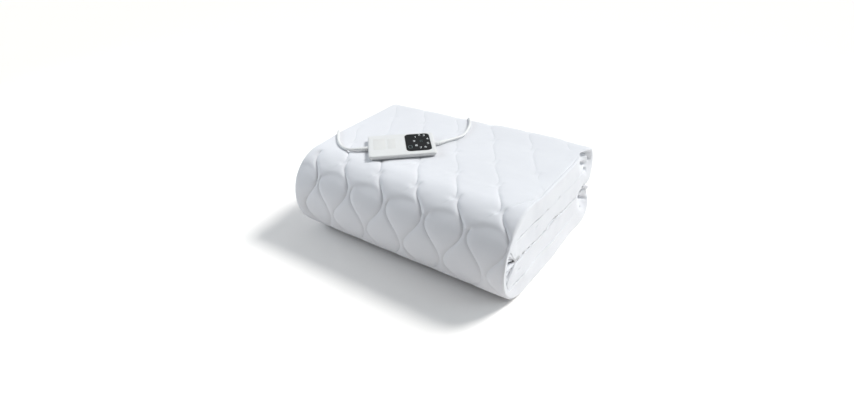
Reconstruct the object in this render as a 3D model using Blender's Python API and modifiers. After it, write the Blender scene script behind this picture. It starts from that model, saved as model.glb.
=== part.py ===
"""Folded quilted heated blanket with a handset and two leads.

Metres, +Z up. X runs along the long rounded front edge, -Y is the front. The origin is
the bottom centre of the folded stack. The blanket is one swept solid: its section across X
is a sheet folded in half twice, and that section follows the stack's side view, back and
forth through four strips.
"""

import math
from dataclasses import astuple, dataclass

import bmesh
import bpy
from mathutils import Matrix, Vector
from mathutils.geometry import interpolate_bezier

COLLECTION = "electric_heated_blanket"

# Folded stack
WIDTH = 0.480
STRIP_GAP = 0.0023
WRAP_DEPTH = 0.079
TIP_Y = -0.160
BEND_THICKNESS = 0.0160
WRAP_THICKNESS = 0.0130
TIP_THICKNESS = 0.0210

# Plies inside one strip
OUTER_PLY_SHARE = 0.24
LEAST_OUTER_PLY = 0.0056
PLY_GAP = 0.0011
LEAST_PLY_GAP = 0.0008
GAP_GROWTH = 0.028
HEM_SETBACK = 0.005
HEM_WANDER = 0.0025
HEM_WAVES = 17
SECOND_HEM_STEP = 0.003
SECOND_HEM_WAVES = 11
TIP_TAPER = 6.0

# How far the left end is drawn in: least at the back, most at the front
BACK_DRAWN = 0.006
FRONT_DRAWN = 0.012
DRAWN_FROM_X = -0.120
DRAWN_FROM_Y = -0.020
DRAWN_SPAN = 0.100

# Quilting, an ogee net of wavy lines that run along the fold path
LINE_PITCH = 0.0417
LINE_SWING = 0.0167
LINE_PHASE = -0.1728
HALF_WAVE = 0.066
NECK_HEIGHT = 0.136
GROOVE_WIDTH = 0.0075
GROOVE_SHOULDER = 0.014
LEFT_MARGIN = 0.004
RIGHT_MARGIN = 0.003
FIRST_LINE = -1
LAST_LINE = 9
# Length along the fold path, how far ahead the waves lie there, and how far aside the lines
NET_DRIFT = (
    (-0.330, -0.002, -0.013),
    (-0.264, -0.002, -0.011),
    (-0.198, 0.012, -0.006),
    (-0.132, 0.015, -0.001),
    (-0.066, 0.017, -0.001),
    (0.0, 0.006, -0.003),
    (0.050, 0.0, 0.0),
)

# Handset
HANDSET_SIZE = Vector((0.129, 0.094, 0.0095))
HANDSET_CENTRE = Vector((-0.068, -0.043))
HANDSET_TURN = math.radians(41)
HANDSET_CORNER = 0.006
HANDSET_EDGE = 0.0028
PANEL_SIZE = Vector((0.048, 0.076, 0.0022))
PANEL_OFFSET = Vector((0.032, 0.003))
PANEL_CORNER = 0.009
PANEL_PROUD = 0.0004
PANEL_EDGE = 0.0004
POCKET_HEAD = 0.004

# Leads
CORD_RADIUS = 0.00275
CORD_STEP = 0.013
RELIEF_RADIUS = 0.0042
PLUG_SLEEVE_RADIUS = 0.0055
SLEEVE_TIP_RADIUS = 0.0034
SLEEVE_COLLAR = 0.0025
SLEEVE_POINTS = 7
INLET_Y = 0.1345
INLET_HEIGHT = 0.0360
INLET_RADIUS = 0.0043
HEM_SLANT = 0.0004
CLEARANCE = 0.0003

# Coil of the mains lead, its tie and its plug
COIL_CENTRE = Vector((-0.098, 0.266))
COIL_RADIUS = 0.031
COIL_BAND = 0.0172
COIL_HEIGHT = 0.0153
COIL_BASE = 0.0013
TIE_WIDTH = 0.008
TIE_THICKNESS = 0.0008
TIE_SLACK = 0.0010
TIE_ANGLE = math.radians(80)
TIE_OUTLINE = ((1, 0.45), (0.55, 1), (-0.55, 1), (-1, 0.45), (-1, -0.45), (-0.55, -1), (0.55, -1), (1, -0.45))
RING_STEPS = 28
RING_CORNER = 0.3
PLUG_BODY = Vector((0.036, 0.034, 0.0136))
PLUG_CENTRE = Vector((-0.200, 0.2335))
PLUG_TURN = math.radians(184)
PLUG_CORNER = 0.007
PLUG_EDGE = 0.003
PIN_RADIUS = 0.002
PIN_LENGTH = 0.019
PIN_SPACING = 0.0186


@dataclass(frozen=True)
class SideView:
    """Outline of the folded stack as seen along X at one end of it."""

    height: float
    front: float
    upper_back: float
    lower_back: float

    @property
    def strip(self):
        return (self.height - 3 * STRIP_GAP) / 4

    @property
    def turn(self):
        """Outer radius of each fold at the back."""
        return self.strip + STRIP_GAP / 2


LEFT_END = SideView(height=0.1690, front=-0.190, upper_back=0.171, lower_back=0.192)
RIGHT_END = SideView(height=0.1725, front=-0.192, upper_back=0.178, lower_back=0.189)


@dataclass(frozen=True)
class Leg:
    """One stretch of the fold path. The inset is how far its right edge sits back."""

    name: str
    rows: int
    thinnest: float
    quilt_start: float
    quilt_end: float
    inset: float


LEGS = (
    Leg("upper_under", rows=6, thinnest=0, quilt_start=0, quilt_end=0, inset=0.004),
    Leg("upper_back", rows=9, thinnest=BEND_THICKNESS, quilt_start=0, quilt_end=0.0032, inset=0.003),
    Leg("top", rows=19, thinnest=0, quilt_start=0.0032, quilt_end=0.0034, inset=0),
    Leg("front", rows=20, thinnest=WRAP_THICKNESS, quilt_start=0.0034, quilt_end=0, inset=0.002),
    Leg("bottom", rows=4, thinnest=0, quilt_start=0, quilt_end=0, inset=0.002),
    Leg("lower_back", rows=8, thinnest=BEND_THICKNESS, quilt_start=0, quilt_end=0, inset=0.004),
    Leg("lower_over", rows=6, thinnest=0, quilt_start=0, quilt_end=0, inset=0.005),
)

# Routes chosen by hand. They start at a strain relief's tip and rest on what lies below.
MAINS_ROUTE = (
    (-0.0080, 0.0240, 0.1750),
    (-0.0030, 0.0370, 0.1742),
    (0.0020, 0.0500, 0.1740),
    (0.0045, 0.0640, 0.1739),
    (0.0020, 0.0800, 0.1739),
    (-0.0040, 0.0990, 0.1739),
    (-0.0115, 0.1170, 0.1738),
    (-0.0210, 0.1330, 0.1736),
    (-0.0320, 0.1480, 0.1712),
    (-0.0415, 0.1616, 0.1630),
    (-0.0490, 0.1718, 0.1507),
    (-0.0540, 0.1771, 0.1350),
    (-0.0570, 0.1785, 0.1180),
    (-0.0590, 0.1788, 0.0980),
    (-0.0602, 0.1808, 0.0790),
    (-0.0612, 0.1888, 0.0640),
    (-0.0618, 0.1940, 0.0480),
    (-0.0620, 0.1958, 0.0320),
    (-0.0616, 0.2005, 0.0170),
    (-0.0606, 0.2115, 0.0060),
    (-0.0590, 0.2260, 0.0031),
    (-0.0572, 0.2410, 0.0031),
    (-0.0589, 0.2560, 0.0031),
)
BLANKET_ROUTE = (
    (-0.1350, -0.0995, 0.1752),
    (-0.1500, -0.1050, 0.1738),
    (-0.1670, -0.1025, 0.1730),
    (-0.1845, -0.0930, 0.1727),
    (-0.2000, -0.0800, 0.1725),
    (-0.2130, -0.0660, 0.1726),
    (-0.2250, -0.0520, 0.1720),
    (-0.2370, -0.0390, 0.1655),
    (-0.2435, -0.0300, 0.1500),
    (-0.2450, -0.0235, 0.1290),
    (-0.2440, -0.0165, 0.1020),
    (-0.2430, -0.0085, 0.0730),
    (-0.2445, 0.0010, 0.0460),
    (-0.2500, 0.0110, 0.0235),
    (-0.2610, 0.0240, 0.0080),
    (-0.2740, 0.0400, 0.0031),
    (-0.2870, 0.0590, 0.0031),
    (-0.2950, 0.0780, 0.0031),
    (-0.2965, 0.0980, 0.0050),
    (-0.2910, 0.1150, 0.0110),
    (-0.2800, 0.1255, 0.0185),
    (-0.2680, 0.1310, 0.0258),
)
TAIL_ROUTE = (
    (-0.1383, 0.2640, 0.0031),
    (-0.1392, 0.2520, 0.0033),
    (-0.1430, 0.2430, 0.0050),
    (-0.1480, 0.2375, 0.0062),
)


def clear_scene():
    for old in list(bpy.data.objects):
        bpy.data.objects.remove(old, do_unlink=True)


def make_material(name, colour, roughness, metallic=0.0):
    material = bpy.data.materials.new(name)
    material.use_nodes = True
    shader = material.node_tree.nodes["Principled BSDF"]
    shader.inputs["Base Color"].default_value = (*colour, 1.0)
    shader.inputs["Roughness"].default_value = roughness
    shader.inputs["Metallic"].default_value = metallic
    return material


def add_object(name, data, material, collection):
    part = bpy.data.objects.new(name, data)
    part.data.materials.append(material)
    collection.objects.link(part)
    return part


def mix(first, second, share):
    return first + (second - first) * share


def ease(share):
    share = min(max(share, 0.0), 1.0)
    return share * share * (3 - 2 * share)


def straight(start, end, share, outward):
    return (mix(start[0], end[0], share), mix(start[1], end[1], share)), outward


def half_turn(centre, reach, rise, angle):
    """Point and outward direction on half an ellipse, the angle measured from +Y."""
    point = (centre[0] + reach * math.cos(angle), centre[1] + rise * math.sin(angle))
    normal = Vector((rise * math.cos(angle), reach * math.sin(angle))).normalized()
    return point, (normal.x, normal.y)


def path_point(view, leg, share):
    """Outer skin of the stack in the YZ plane: ((y, z), (outward y, outward z))."""
    turn = view.turn
    upper_floor = view.height - 2 * turn
    lower_roof = 2 * turn
    upper_y = view.upper_back - turn
    lower_y = view.lower_back - turn
    front_y = view.front + WRAP_DEPTH
    middle = view.height / 2
    if leg.name == "upper_under":
        return straight((TIP_Y, upper_floor), (upper_y, upper_floor), share, (0, -1))
    if leg.name == "upper_back":
        return half_turn((upper_y, upper_floor + turn), turn, turn, math.pi * (share - 0.5))
    if leg.name == "top":
        return straight((upper_y, view.height), (front_y, view.height), share, (0, 1))
    if leg.name == "front":
        return half_turn((front_y, middle), WRAP_DEPTH, middle, math.pi * (0.5 + share))
    if leg.name == "bottom":
        return straight((front_y, 0), (lower_y, 0), share, (0, -1))
    if leg.name == "lower_back":
        return half_turn((lower_y, turn), turn, turn, math.pi * (share - 0.5))
    return straight((lower_y, lower_roof), (TIP_Y, lower_roof), share, (0, 1))


def strip_thickness(leg, share, strip):
    """Thickness of the strip of plies: thin round each fold and at the two free ends."""
    if leg.name == "front":
        return mix(strip, leg.thinnest, math.sin(math.pi * share**0.93) ** 1.05)
    if leg.thinnest:
        return mix(strip, leg.thinnest, math.sin(math.pi * share) ** 1.3)
    if leg.name == "upper_under":
        return mix(TIP_THICKNESS, strip, ease(share * TIP_TAPER))
    if leg.name == "lower_over":
        return mix(TIP_THICKNESS, strip, ease((1 - share) * TIP_TAPER))
    return strip


def quilt_depth(leg, share):
    """How deep the stitch lines are drawn in. The flat underside and inner faces have none."""
    if leg.name == "upper_back":
        return leg.quilt_end * ease(share / 0.35)
    if leg.name == "front":
        return leg.quilt_start * (1 - ease((share - 0.80) / 0.18))
    return mix(leg.quilt_start, leg.quilt_end, share)


def leg_shares(leg):
    """Ring places along a leg, closer together at the two free ends."""
    shares = [row / leg.rows for row in range(leg.rows)]
    if leg.name == "upper_under":
        return [share**2.0 for share in shares]
    if leg.name == "lower_over":
        return [1 - (1 - share) ** 2.0 for share in shares]
    return shares


def ring_places():
    """(leg, share, length along the mean outer skin, counted from a neck) of each ring."""
    places = [(leg, share) for leg in LEGS for share in leg_shares(leg)] + [(LEGS[-1], 1.0)]
    mean = SideView(*(mix(left, right, 0.5) for left, right in zip(astuple(LEFT_END), astuple(RIGHT_END))))
    points = [Vector(path_point(mean, leg, share)[0]) for leg, share in places]
    lengths = [0.0]
    for before, after in zip(points, points[1:]):
        lengths.append(lengths[-1] + (after - before).length)
    neck = next(index for index, (place, point) in enumerate(zip(places, points))
                if place[0].name == "front" and point.y < NECK_HEIGHT)
    drop = (points[neck - 1].y - NECK_HEIGHT) / (points[neck - 1].y - points[neck].y)
    neck_length = mix(lengths[neck - 1], lengths[neck], drop)
    return [(leg, share, length - neck_length) for (leg, share), length in zip(places, lengths)]


def net_drift(length):
    """How far ahead the net's waves lie, and how far aside its lines, at a length along the path."""
    if length <= NET_DRIFT[0][0]:
        return NET_DRIFT[0][1:]
    for (start, *before), (end, *after) in zip(NET_DRIFT, NET_DRIFT[1:]):
        if length <= end:
            share = ease((length - start) / (end - start))
            return [mix(here, there, share) for here, there in zip(before, after)]
    return NET_DRIFT[-1][1:]


def quilt_lines(length):
    """X of each wavy stitch line at a length along the path, measured from a neck."""
    ahead, aside = net_drift(length)
    wave = LINE_SWING * math.cos(math.pi * (length - ahead) / HALF_WAVE)
    return [LINE_PHASE + aside + LINE_PITCH * (line + 0.5) - (-1) ** line * wave
            for line in range(FIRST_LINE, LAST_LINE + 1)]


def skin_columns(length, left, right):
    """(x along the skin, share of the groove depth) from the left edge to the right edge."""
    lines = [min(max(x, left + LEFT_MARGIN), right - RIGHT_MARGIN) for x in quilt_lines(length)]
    columns = [(left, 0.0), (mix(left, lines[0], 0.5), 0.1)]
    for here, after in zip(lines, lines[1:]):
        shoulder = min((after - here) / 3, GROOVE_SHOULDER)
        shallow = math.exp(-((shoulder / GROOVE_WIDTH) ** 2))
        columns += [(here, 1.0), (here + shoulder, shallow), (after - shoulder, shallow)]
    columns += [(lines[-1], 1.0), (mix(lines[-1], right, 0.5), 0.3), (right, 0.0)]
    return columns


def arc(centre_x, centre_depth, reach, half, start, end, steps):
    """Interior points of an arc that bulges towards +X, in (x, depth)."""
    angles = [math.radians(mix(start, end, step / (steps + 1))) for step in range(1, steps + 1)]
    return [(centre_x + reach * math.cos(a), centre_depth + half * math.sin(a)) for a in angles]


def hem_edge(length):
    """X of the inner hem at the left edge, which wanders along the path."""
    return -WIDTH / 2 + HEM_SETBACK + HEM_WANDER * math.sin(length * HEM_WAVES)


def strip_section(length, thickness, groove, inset):
    """Closed outline of the twice-folded sheet, as (x, depth below the outer skin).

    The outer ply turns round the right edge and comes back as the inmost ply. The two
    middle plies hang from it at the left edge and fold inside it at the right edge. The
    two hems lie at the left edge.
    """
    gap = min(PLY_GAP, mix(LEAST_PLY_GAP, PLY_GAP, (thickness - WRAP_THICKNESS) / GAP_GROWTH))
    outer = max(OUTER_PLY_SHARE * thickness, LEAST_OUTER_PLY)
    ply = (thickness - outer - 3 * gap) / 3
    radius = thickness / 2
    right = WIDTH / 2 - inset - radius
    left_radius = (outer + gap + ply) / 2
    left = -WIDTH / 2 + left_radius
    hem = hem_edge(length)
    second_hem = hem + SECOND_HEM_STEP + HEM_WANDER * math.sin(length * SECOND_HEM_WAVES + 1)
    wall = (outer + ply) / 2
    nest_half = (thickness - outer - ply) / 2
    nest_depth = (thickness + outer - ply) / 2

    outline = []
    edge = right + radius * math.pi / 2
    for x, share in skin_columns(length, left, edge):
        turned = max(x - right, 0.0) / radius
        drawn = groove * share
        reach = min(x, right) + (radius - drawn) * math.sin(turned)
        outline.append((reach, radius - (radius - drawn) * math.cos(turned)))
    outline += arc(right, radius, radius, radius, 0, 90, 2)
    outline += [(right, thickness), (hem, thickness)]
    outline += [(hem, thickness - ply), (right, thickness - ply)]
    outline += arc(right, nest_depth, radius - wall, nest_half, 90, -90, 3)
    outline += [(right, outer), (left, outer)]
    outline += [(left - gap / 2, outer + gap / 2)]
    outline += [(left, outer + gap), (right, outer + gap)]
    outline += arc(right, nest_depth, radius - wall - gap, nest_half - gap, -90, 90, 3)
    outline += [(right, thickness - ply - gap), (second_hem, thickness - ply - gap)]
    outline += [(second_hem, thickness - 2 * ply - gap), (right, thickness - 2 * ply - gap)]
    outline += [(right + gap / 2, thickness - 2 * ply - 1.5 * gap)]
    outline += [(right, outer + gap + ply), (left, outer + gap + ply)]
    outline += arc(left, left_radius, -left_radius, left_radius, 90, -90, 3)
    return outline


def drawn_in(x, y):
    """X once the left end is drawn in."""
    most = mix(BACK_DRAWN, FRONT_DRAWN, ease((DRAWN_FROM_Y - y) / DRAWN_SPAN))
    return x + most * ease((DRAWN_FROM_X - x) / (DRAWN_FROM_X + WIDTH / 2))


def place_ring(leg, share, section, thickness):
    """Carries a section onto the fold path, whose side view changes evenly along X."""
    left_point, left_normal = path_point(LEFT_END, leg, share)
    right_point, right_normal = path_point(RIGHT_END, leg, share)
    points = []
    for x, depth in section:
        across = x / WIDTH + 0.5
        strip = mix(LEFT_END.strip, RIGHT_END.strip, across)
        deep = depth * strip_thickness(leg, share, strip) / thickness
        y = mix(left_point[0] - left_normal[0] * deep, right_point[0] - right_normal[0] * deep, across)
        z = mix(left_point[1] - left_normal[1] * deep, right_point[1] - right_normal[1] * deep, across)
        points.append((drawn_in(x, y), y, z))
    return points


def edge_inset(index, share):
    """Right edge's setback, from half-way along one leg to half-way along the next."""
    other = min(max(index + (1 if share > 0.5 else -1), 0), len(LEGS) - 1)
    return mix(LEGS[index].inset, LEGS[other].inset, abs(share - 0.5))


def build_blanket(collection, material):
    """One closed solid, lofted between the rings and capped at both free ends."""
    shell = bmesh.new()
    rings = []
    mean_strip = (LEFT_END.strip + RIGHT_END.strip) / 2
    for leg, share, length in ring_places():
        thickness = strip_thickness(leg, share, mean_strip)
        inset = edge_inset(LEGS.index(leg), share)
        section = strip_section(length, thickness, quilt_depth(leg, share), inset)
        rings.append([shell.verts.new(point) for point in place_ring(leg, share, section, thickness)])
    for ring, after in zip(rings, rings[1:]):
        for index in range(len(ring)):
            following = (index + 1) % len(ring)
            shell.faces.new((ring[index], ring[following], after[following], after[index]))
    shell.faces.new(rings[0])
    shell.faces.new(rings[-1])
    bmesh.ops.recalc_face_normals(shell, faces=shell.faces)
    mesh = bpy.data.meshes.new("blanket")
    shell.to_mesh(mesh)
    shell.free()
    mesh.shade_smooth()
    return add_object("blanket", mesh, material, collection)


def rounded_slab(name, size, corner, edge):
    """Box with rounded corners in plan and softened rims, its centre at its own origin."""
    form = bmesh.new()
    bmesh.ops.create_cube(form, size=1.0)
    bmesh.ops.scale(form, vec=size, verts=form.verts)
    posts = [e for e in form.edges if abs((e.verts[0].co - e.verts[1].co).z) > size.z / 2]
    bmesh.ops.bevel(form, geom=posts, offset=corner, segments=4, profile=0.5, affect="EDGES")
    rims = [e for e in form.edges if abs(e.verts[0].co.z - e.verts[1].co.z) < size.z / 4]
    if edge:
        bmesh.ops.bevel(form, geom=rims, offset=edge, segments=2, profile=0.5, affect="EDGES")
    mesh = bpy.data.meshes.new(name)
    form.to_mesh(mesh)
    form.free()
    return mesh


def top_height(x):
    """Height of the stack's top face at x."""
    return mix(LEFT_END.height, RIGHT_END.height, x / WIDTH + 0.5)


def handset_frame():
    """Place of the handset's centre, resting on the crowns of the quilting."""
    reach = (HANDSET_SIZE.x * math.cos(HANDSET_TURN) + HANDSET_SIZE.y * math.sin(HANDSET_TURN)) / 2
    highest = top_height(HANDSET_CENTRE.x + reach)
    centre = Vector((*HANDSET_CENTRE, highest + CLEARANCE + HANDSET_SIZE.z / 2))
    return Matrix.Translation(centre) @ Matrix.Rotation(HANDSET_TURN, 4, "Z")


def build_handset(collection, cutters, white, black):
    frame = handset_frame()
    housing = add_object(
        "handset_housing",
        rounded_slab("handset_housing", HANDSET_SIZE, HANDSET_CORNER, HANDSET_EDGE),
        white, collection)
    housing.matrix_world = frame
    panel_top = HANDSET_SIZE.z / 2 + PANEL_PROUD
    seat = Matrix.Translation((*PANEL_OFFSET, panel_top - PANEL_SIZE.z / 2))
    panel = add_object(
        "handset_panel", rounded_slab("handset_panel", PANEL_SIZE, PANEL_CORNER, PANEL_EDGE),
        black, collection)
    panel.matrix_world = frame @ seat
    pocket_size = PANEL_SIZE + Vector((2 * CLEARANCE, 2 * CLEARANCE, POCKET_HEAD))
    pocket = bpy.data.objects.new(
        "panel_pocket",
        rounded_slab("panel_pocket", pocket_size, PANEL_CORNER + CLEARANCE, 0))
    cutters.objects.link(pocket)
    pocket.matrix_world = frame @ seat @ Matrix.Translation((0, 0, POCKET_HEAD / 2 - CLEARANCE))
    pocket.hide_render = True
    pocket.display_type = "WIRE"
    cut = housing.modifiers.new("panel pocket", "BOOLEAN")
    cut.operation = "DIFFERENCE"
    cut.object = pocket


def smooth_curve(route, samples=8):
    """Points of a smooth curve through the route's own points."""
    points = [Vector(point) for point in route]
    padded = [2 * points[0] - points[1]] + points + [2 * points[-1] - points[-2]]
    curve = []
    for a, b, c, d in zip(padded, padded[1:], padded[2:], padded[3:]):
        for step in range(samples):
            t = step / samples
            point = 0.5 * (2 * b + (c - a) * t + (2 * a - 5 * b + 4 * c - d) * t**2
                           + (3 * b - a - 3 * c + d) * t**3)
            point.z = max(point.z, CORD_RADIUS + CLEARANCE)
            curve.append(point)
    return curve + [points[-1]]


def spaced(curve, step):
    """Points at an even spacing of about the step along a curve."""
    lengths = [0.0]
    for before, after in zip(curve, curve[1:]):
        lengths.append(lengths[-1] + (after - before).length)
    count = max(round(lengths[-1] / step), 2)
    result, index = [], 0
    for number in range(count + 1):
        wanted = lengths[-1] * number / count
        while index < len(curve) - 2 and lengths[index + 1] < wanted:
            index += 1
        share = (wanted - lengths[index]) / (lengths[index + 1] - lengths[index])
        result.append(mix(curve[index], curve[index + 1], share))
    return result


def build_tube(name, points, radii, material, collection):
    """Round tube with filled ends along a list of points, one radius for each point."""
    data = bpy.data.curves.new(name, "CURVE")
    data.dimensions = "3D"
    data.bevel_depth = 1.0
    data.bevel_resolution = 2
    data.use_fill_caps = True
    spline = data.splines.new("POLY")
    spline.points.add(len(points) - 1)
    for target, point, radius in zip(spline.points, points, radii):
        target.co = (*point, 1.0)
        target.radius = radius
    return add_object(name, data, material, collection)


def build_lead(name, route, material, collection):
    points = spaced(smooth_curve(route), CORD_STEP)
    build_tube(name, points, [CORD_RADIUS] * len(points), material, collection)


def lead_end(route, at_start=False):
    """Point and outward direction at one end of a lead's tube."""
    points = spaced(smooth_curve(route), CORD_STEP)
    end, before = points[:2] if at_start else points[:-3:-1]
    return end, (end - before).normalized()


def build_sleeve(name, root, outward, ending, root_radius, material, collection):
    """Tapering sleeve that leaves its seat squarely, bends, and ends in line with a lead."""
    end, along = ending
    tip = end + along * CLEARANCE
    start, finish = root + outward * SLEEVE_COLLAR, tip + along * SLEEVE_COLLAR
    pull = (finish - start).length / 3
    bend = interpolate_bezier(start, start + outward * pull, finish + along * pull, finish, SLEEVE_POINTS)
    points = [root, *bend, tip]
    last = len(points) - 1
    radii = [mix(root_radius, SLEEVE_TIP_RADIUS, index / last) for index in range(last + 1)]
    build_tube(name, points, radii, material, collection)


def build_reliefs(collection, material):
    """The two sleeves at the handset's ends."""
    frame = handset_frame()
    axis = (frame.to_3x3() @ Vector((1, 0, 0))).normalized()
    for name, side, route in (("mains_relief", 1, MAINS_ROUTE), ("blanket_relief", -1, BLANKET_ROUTE)):
        root = frame @ Vector((side * (HANDSET_SIZE.x / 2 + CLEARANCE), 0, 0))
        build_sleeve(name, root, side * axis, lead_end(route, True), RELIEF_RADIUS, material, collection)


def hem_at_inlet():
    """X of the bottom strip's inner hem where the inlet is sewn in, between two rings."""
    start_y = (LEFT_END.front + RIGHT_END.front) / 2 + WRAP_DEPTH
    lengths = [length for leg, _, length in ring_places() if leg.name == "bottom"]
    wanted = lengths[0] + INLET_Y - start_y
    spacing = lengths[1] - lengths[0]
    before = lengths[0] + math.floor((wanted - lengths[0]) / spacing) * spacing
    return mix(hem_edge(before), hem_edge(before + spacing), (wanted - before) / spacing)


def build_inlet(collection, material):
    """Bent sleeve that carries the blanket lead straight into a hem on the left edge."""
    hem = drawn_in(hem_at_inlet(), INLET_Y)
    root = Vector((hem - CLEARANCE - HEM_SLANT, INLET_Y, INLET_HEIGHT))
    build_sleeve("blanket_inlet_sleeve", root, Vector((-1, 0, 0)), lead_end(BLANKET_ROUTE),
                 INLET_RADIUS, material, collection)


def turned_ring(name, radius, half_band, half_height, material, collection):
    """Ring turned about Z from a rounded profile."""
    outline = []
    for side_x, side_z in ((1, 1), (1, -1), (-1, -1), (-1, 1)):
        pair = [(side_x, side_z * RING_CORNER), (side_x * RING_CORNER, side_z)]
        outline += pair[::-1] if side_x * side_z > 0 else pair
    form = bmesh.new()
    corners = [form.verts.new((radius + half_band * x, 0, half_height * z)) for x, z in outline]
    for before, after in zip(corners, corners[1:] + corners[:1]):
        form.edges.new((before, after))
    mesh = bpy.data.meshes.new(name)
    form.to_mesh(mesh)
    form.free()
    ring = add_object(name, mesh, material, collection)
    turn = ring.modifiers.new("turn", "SCREW")
    turn.steps = RING_STEPS
    turn.render_steps = RING_STEPS
    turn.use_merge_vertices = True
    turn.merge_threshold = 0.0001
    return ring


def build_coil(collection, material):
    """Outer shape of the wound mains lead."""
    ring = turned_ring("mains_lead_coil", COIL_RADIUS, COIL_BAND / 2, COIL_HEIGHT / 2, material, collection)
    ring.location = (*COIL_CENTRE, COIL_BASE + COIL_HEIGHT / 2)


def build_tie(collection, material):
    """Flat band round the coil's turns."""
    inner = Vector((COIL_BAND / 2 + TIE_SLACK, COIL_HEIGHT / 2 + CLEARANCE))
    outer = inner + Vector((TIE_THICKNESS, TIE_THICKNESS))
    band = bmesh.new()
    loops = []
    for size, side in ((inner, -1), (outer, -1), (outer, 1), (inner, 1)):
        loops.append([band.verts.new((size.x * x, side * TIE_WIDTH / 2, size.y * z))
                      for x, z in TIE_OUTLINE])
    for here, after in zip(loops, loops[1:] + loops[:1]):
        for index in range(len(here)):
            following = (index + 1) % len(here)
            band.faces.new((here[index], here[following], after[following], after[index]))
    bmesh.ops.recalc_face_normals(band, faces=band.faces)
    mesh = bpy.data.meshes.new("mains_lead_tie")
    band.to_mesh(mesh)
    band.free()
    tie = add_object("mains_lead_tie", mesh, material, collection)
    tie.location = (COIL_CENTRE.x + COIL_RADIUS * math.cos(TIE_ANGLE),
                    COIL_CENTRE.y + COIL_RADIUS * math.sin(TIE_ANGLE),
                    COIL_BASE + COIL_HEIGHT / 2)
    tie.rotation_euler = (0, 0, TIE_ANGLE)


def build_plug(collection, white, metal):
    """Flat two-pin mains plug lying on its side, with its own tapering sleeve."""
    frame = Matrix.Translation((*PLUG_CENTRE, PLUG_BODY.z / 2)) @ Matrix.Rotation(PLUG_TURN, 4, "Z")
    shape = rounded_slab("plug_body", PLUG_BODY, PLUG_CORNER, PLUG_EDGE)
    body = add_object("plug_body", shape, white, collection)
    body.matrix_world = frame
    for name, side in (("plug_pin_near", 1), ("plug_pin_far", -1)):
        form = bmesh.new()
        bmesh.ops.create_cone(
            form, cap_ends=True, segments=14, radius1=PIN_RADIUS, radius2=PIN_RADIUS, depth=PIN_LENGTH)
        mesh = bpy.data.meshes.new(name)
        form.to_mesh(mesh)
        form.free()
        pin = add_object(name, mesh, metal, collection)
        away = PLUG_BODY.x / 2 + CLEARANCE + PIN_LENGTH / 2
        lie = Matrix.Rotation(math.pi / 2, 4, "Y")
        pin.matrix_world = frame @ Matrix.Translation((away, side * PIN_SPACING / 2, 0)) @ lie
    root = frame @ Vector((-PLUG_BODY.x / 2 - CLEARANCE, 0, 0))
    backward = (frame.to_3x3() @ Vector((-1, 0, 0))).normalized()
    build_sleeve("plug_sleeve", root, backward, lead_end(TAIL_ROUTE), PLUG_SLEEVE_RADIUS, white, collection)


def main():
    clear_scene()
    collection = bpy.data.collections.new(COLLECTION)
    cutters = bpy.data.collections.new("cutters")
    for group in (collection, cutters):
        bpy.context.scene.collection.children.link(group)
    cloth = make_material("quilted_cloth", (0.86, 0.87, 0.89), 0.85)
    handset_white = make_material("handset_white", (0.86, 0.86, 0.84), 0.38)
    panel_black = make_material("panel_black", (0.012, 0.013, 0.014), 0.12)
    cord_white = make_material("cord_white", (0.80, 0.80, 0.79), 0.50)
    tie_white = make_material("tie_white", (0.78, 0.78, 0.77), 0.60)
    pin_metal = make_material("pin_metal", (0.70, 0.70, 0.70), 0.30, 1.0)

    build_blanket(collection, cloth)
    build_handset(collection, cutters, handset_white, panel_black)
    build_reliefs(collection, cord_white)
    build_lead("mains_lead", MAINS_ROUTE, cord_white, collection)
    build_lead("blanket_lead", BLANKET_ROUTE, cord_white, collection)
    build_lead("mains_lead_tail", TAIL_ROUTE, cord_white, collection)
    build_inlet(collection, cord_white)
    build_coil(collection, cord_white)
    build_tie(collection, tie_white)
    build_plug(collection, cord_white, pin_metal)


main()
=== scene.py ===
"""Dresses the folded heated blanket: its quilted cloth, stitches, handset, leads, coil and plug.

Metres, +Z up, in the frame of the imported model: X runs along the long rounded front edge, -Y is
the front, and the origin is the bottom centre of the folded stack.
"""

import logging
import math
from collections.abc import Iterable, Mapping, Sequence
from dataclasses import astuple, dataclass, field
from enum import Enum
from typing import Any

import bmesh
import bpy
import numpy as np
from mathutils import Matrix, Vector
from mathutils.geometry import interpolate_bezier


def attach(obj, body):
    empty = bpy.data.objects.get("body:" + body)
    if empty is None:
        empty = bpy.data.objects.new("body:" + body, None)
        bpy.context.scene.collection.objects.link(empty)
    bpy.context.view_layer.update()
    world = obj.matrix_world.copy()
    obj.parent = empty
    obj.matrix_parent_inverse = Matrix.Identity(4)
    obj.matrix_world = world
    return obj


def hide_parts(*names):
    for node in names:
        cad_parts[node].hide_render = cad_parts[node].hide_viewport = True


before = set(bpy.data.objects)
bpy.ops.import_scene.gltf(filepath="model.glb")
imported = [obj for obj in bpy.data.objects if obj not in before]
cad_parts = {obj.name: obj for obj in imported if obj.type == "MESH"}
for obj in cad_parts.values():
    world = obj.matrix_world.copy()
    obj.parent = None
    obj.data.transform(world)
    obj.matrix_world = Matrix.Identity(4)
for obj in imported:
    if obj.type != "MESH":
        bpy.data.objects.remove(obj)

LOG = logging.getLogger("heated_blanket")
BODY = "root"
CLEARANCE = 0.0003
CLOTH_UV = "cloth"
# Name of the point attribute that carries painted shade along the stitch grooves.
GROOVE_SHADE_ATTRIBUTE = "groove_shade"
Colour = tuple[float, float, float]


class Slot(Enum):
    """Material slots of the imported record."""

    CLOTH = "quilted_cloth"
    HANDSET = "handset_white"
    PANEL = "panel_black"
    CORD = "cord_white"
    TIE = "tie_white"
    PIN = "pin_metal"


class Leg(Enum):
    """Stretches of the fold path, from one free end of the strip to the other."""

    UPPER_UNDER = "upper_under"
    UPPER_BACK = "upper_back"
    TOP = "top"
    FRONT = "front"
    BOTTOM = "bottom"
    LOWER_BACK = "lower_back"
    LOWER_OVER = "lower_over"


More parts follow.
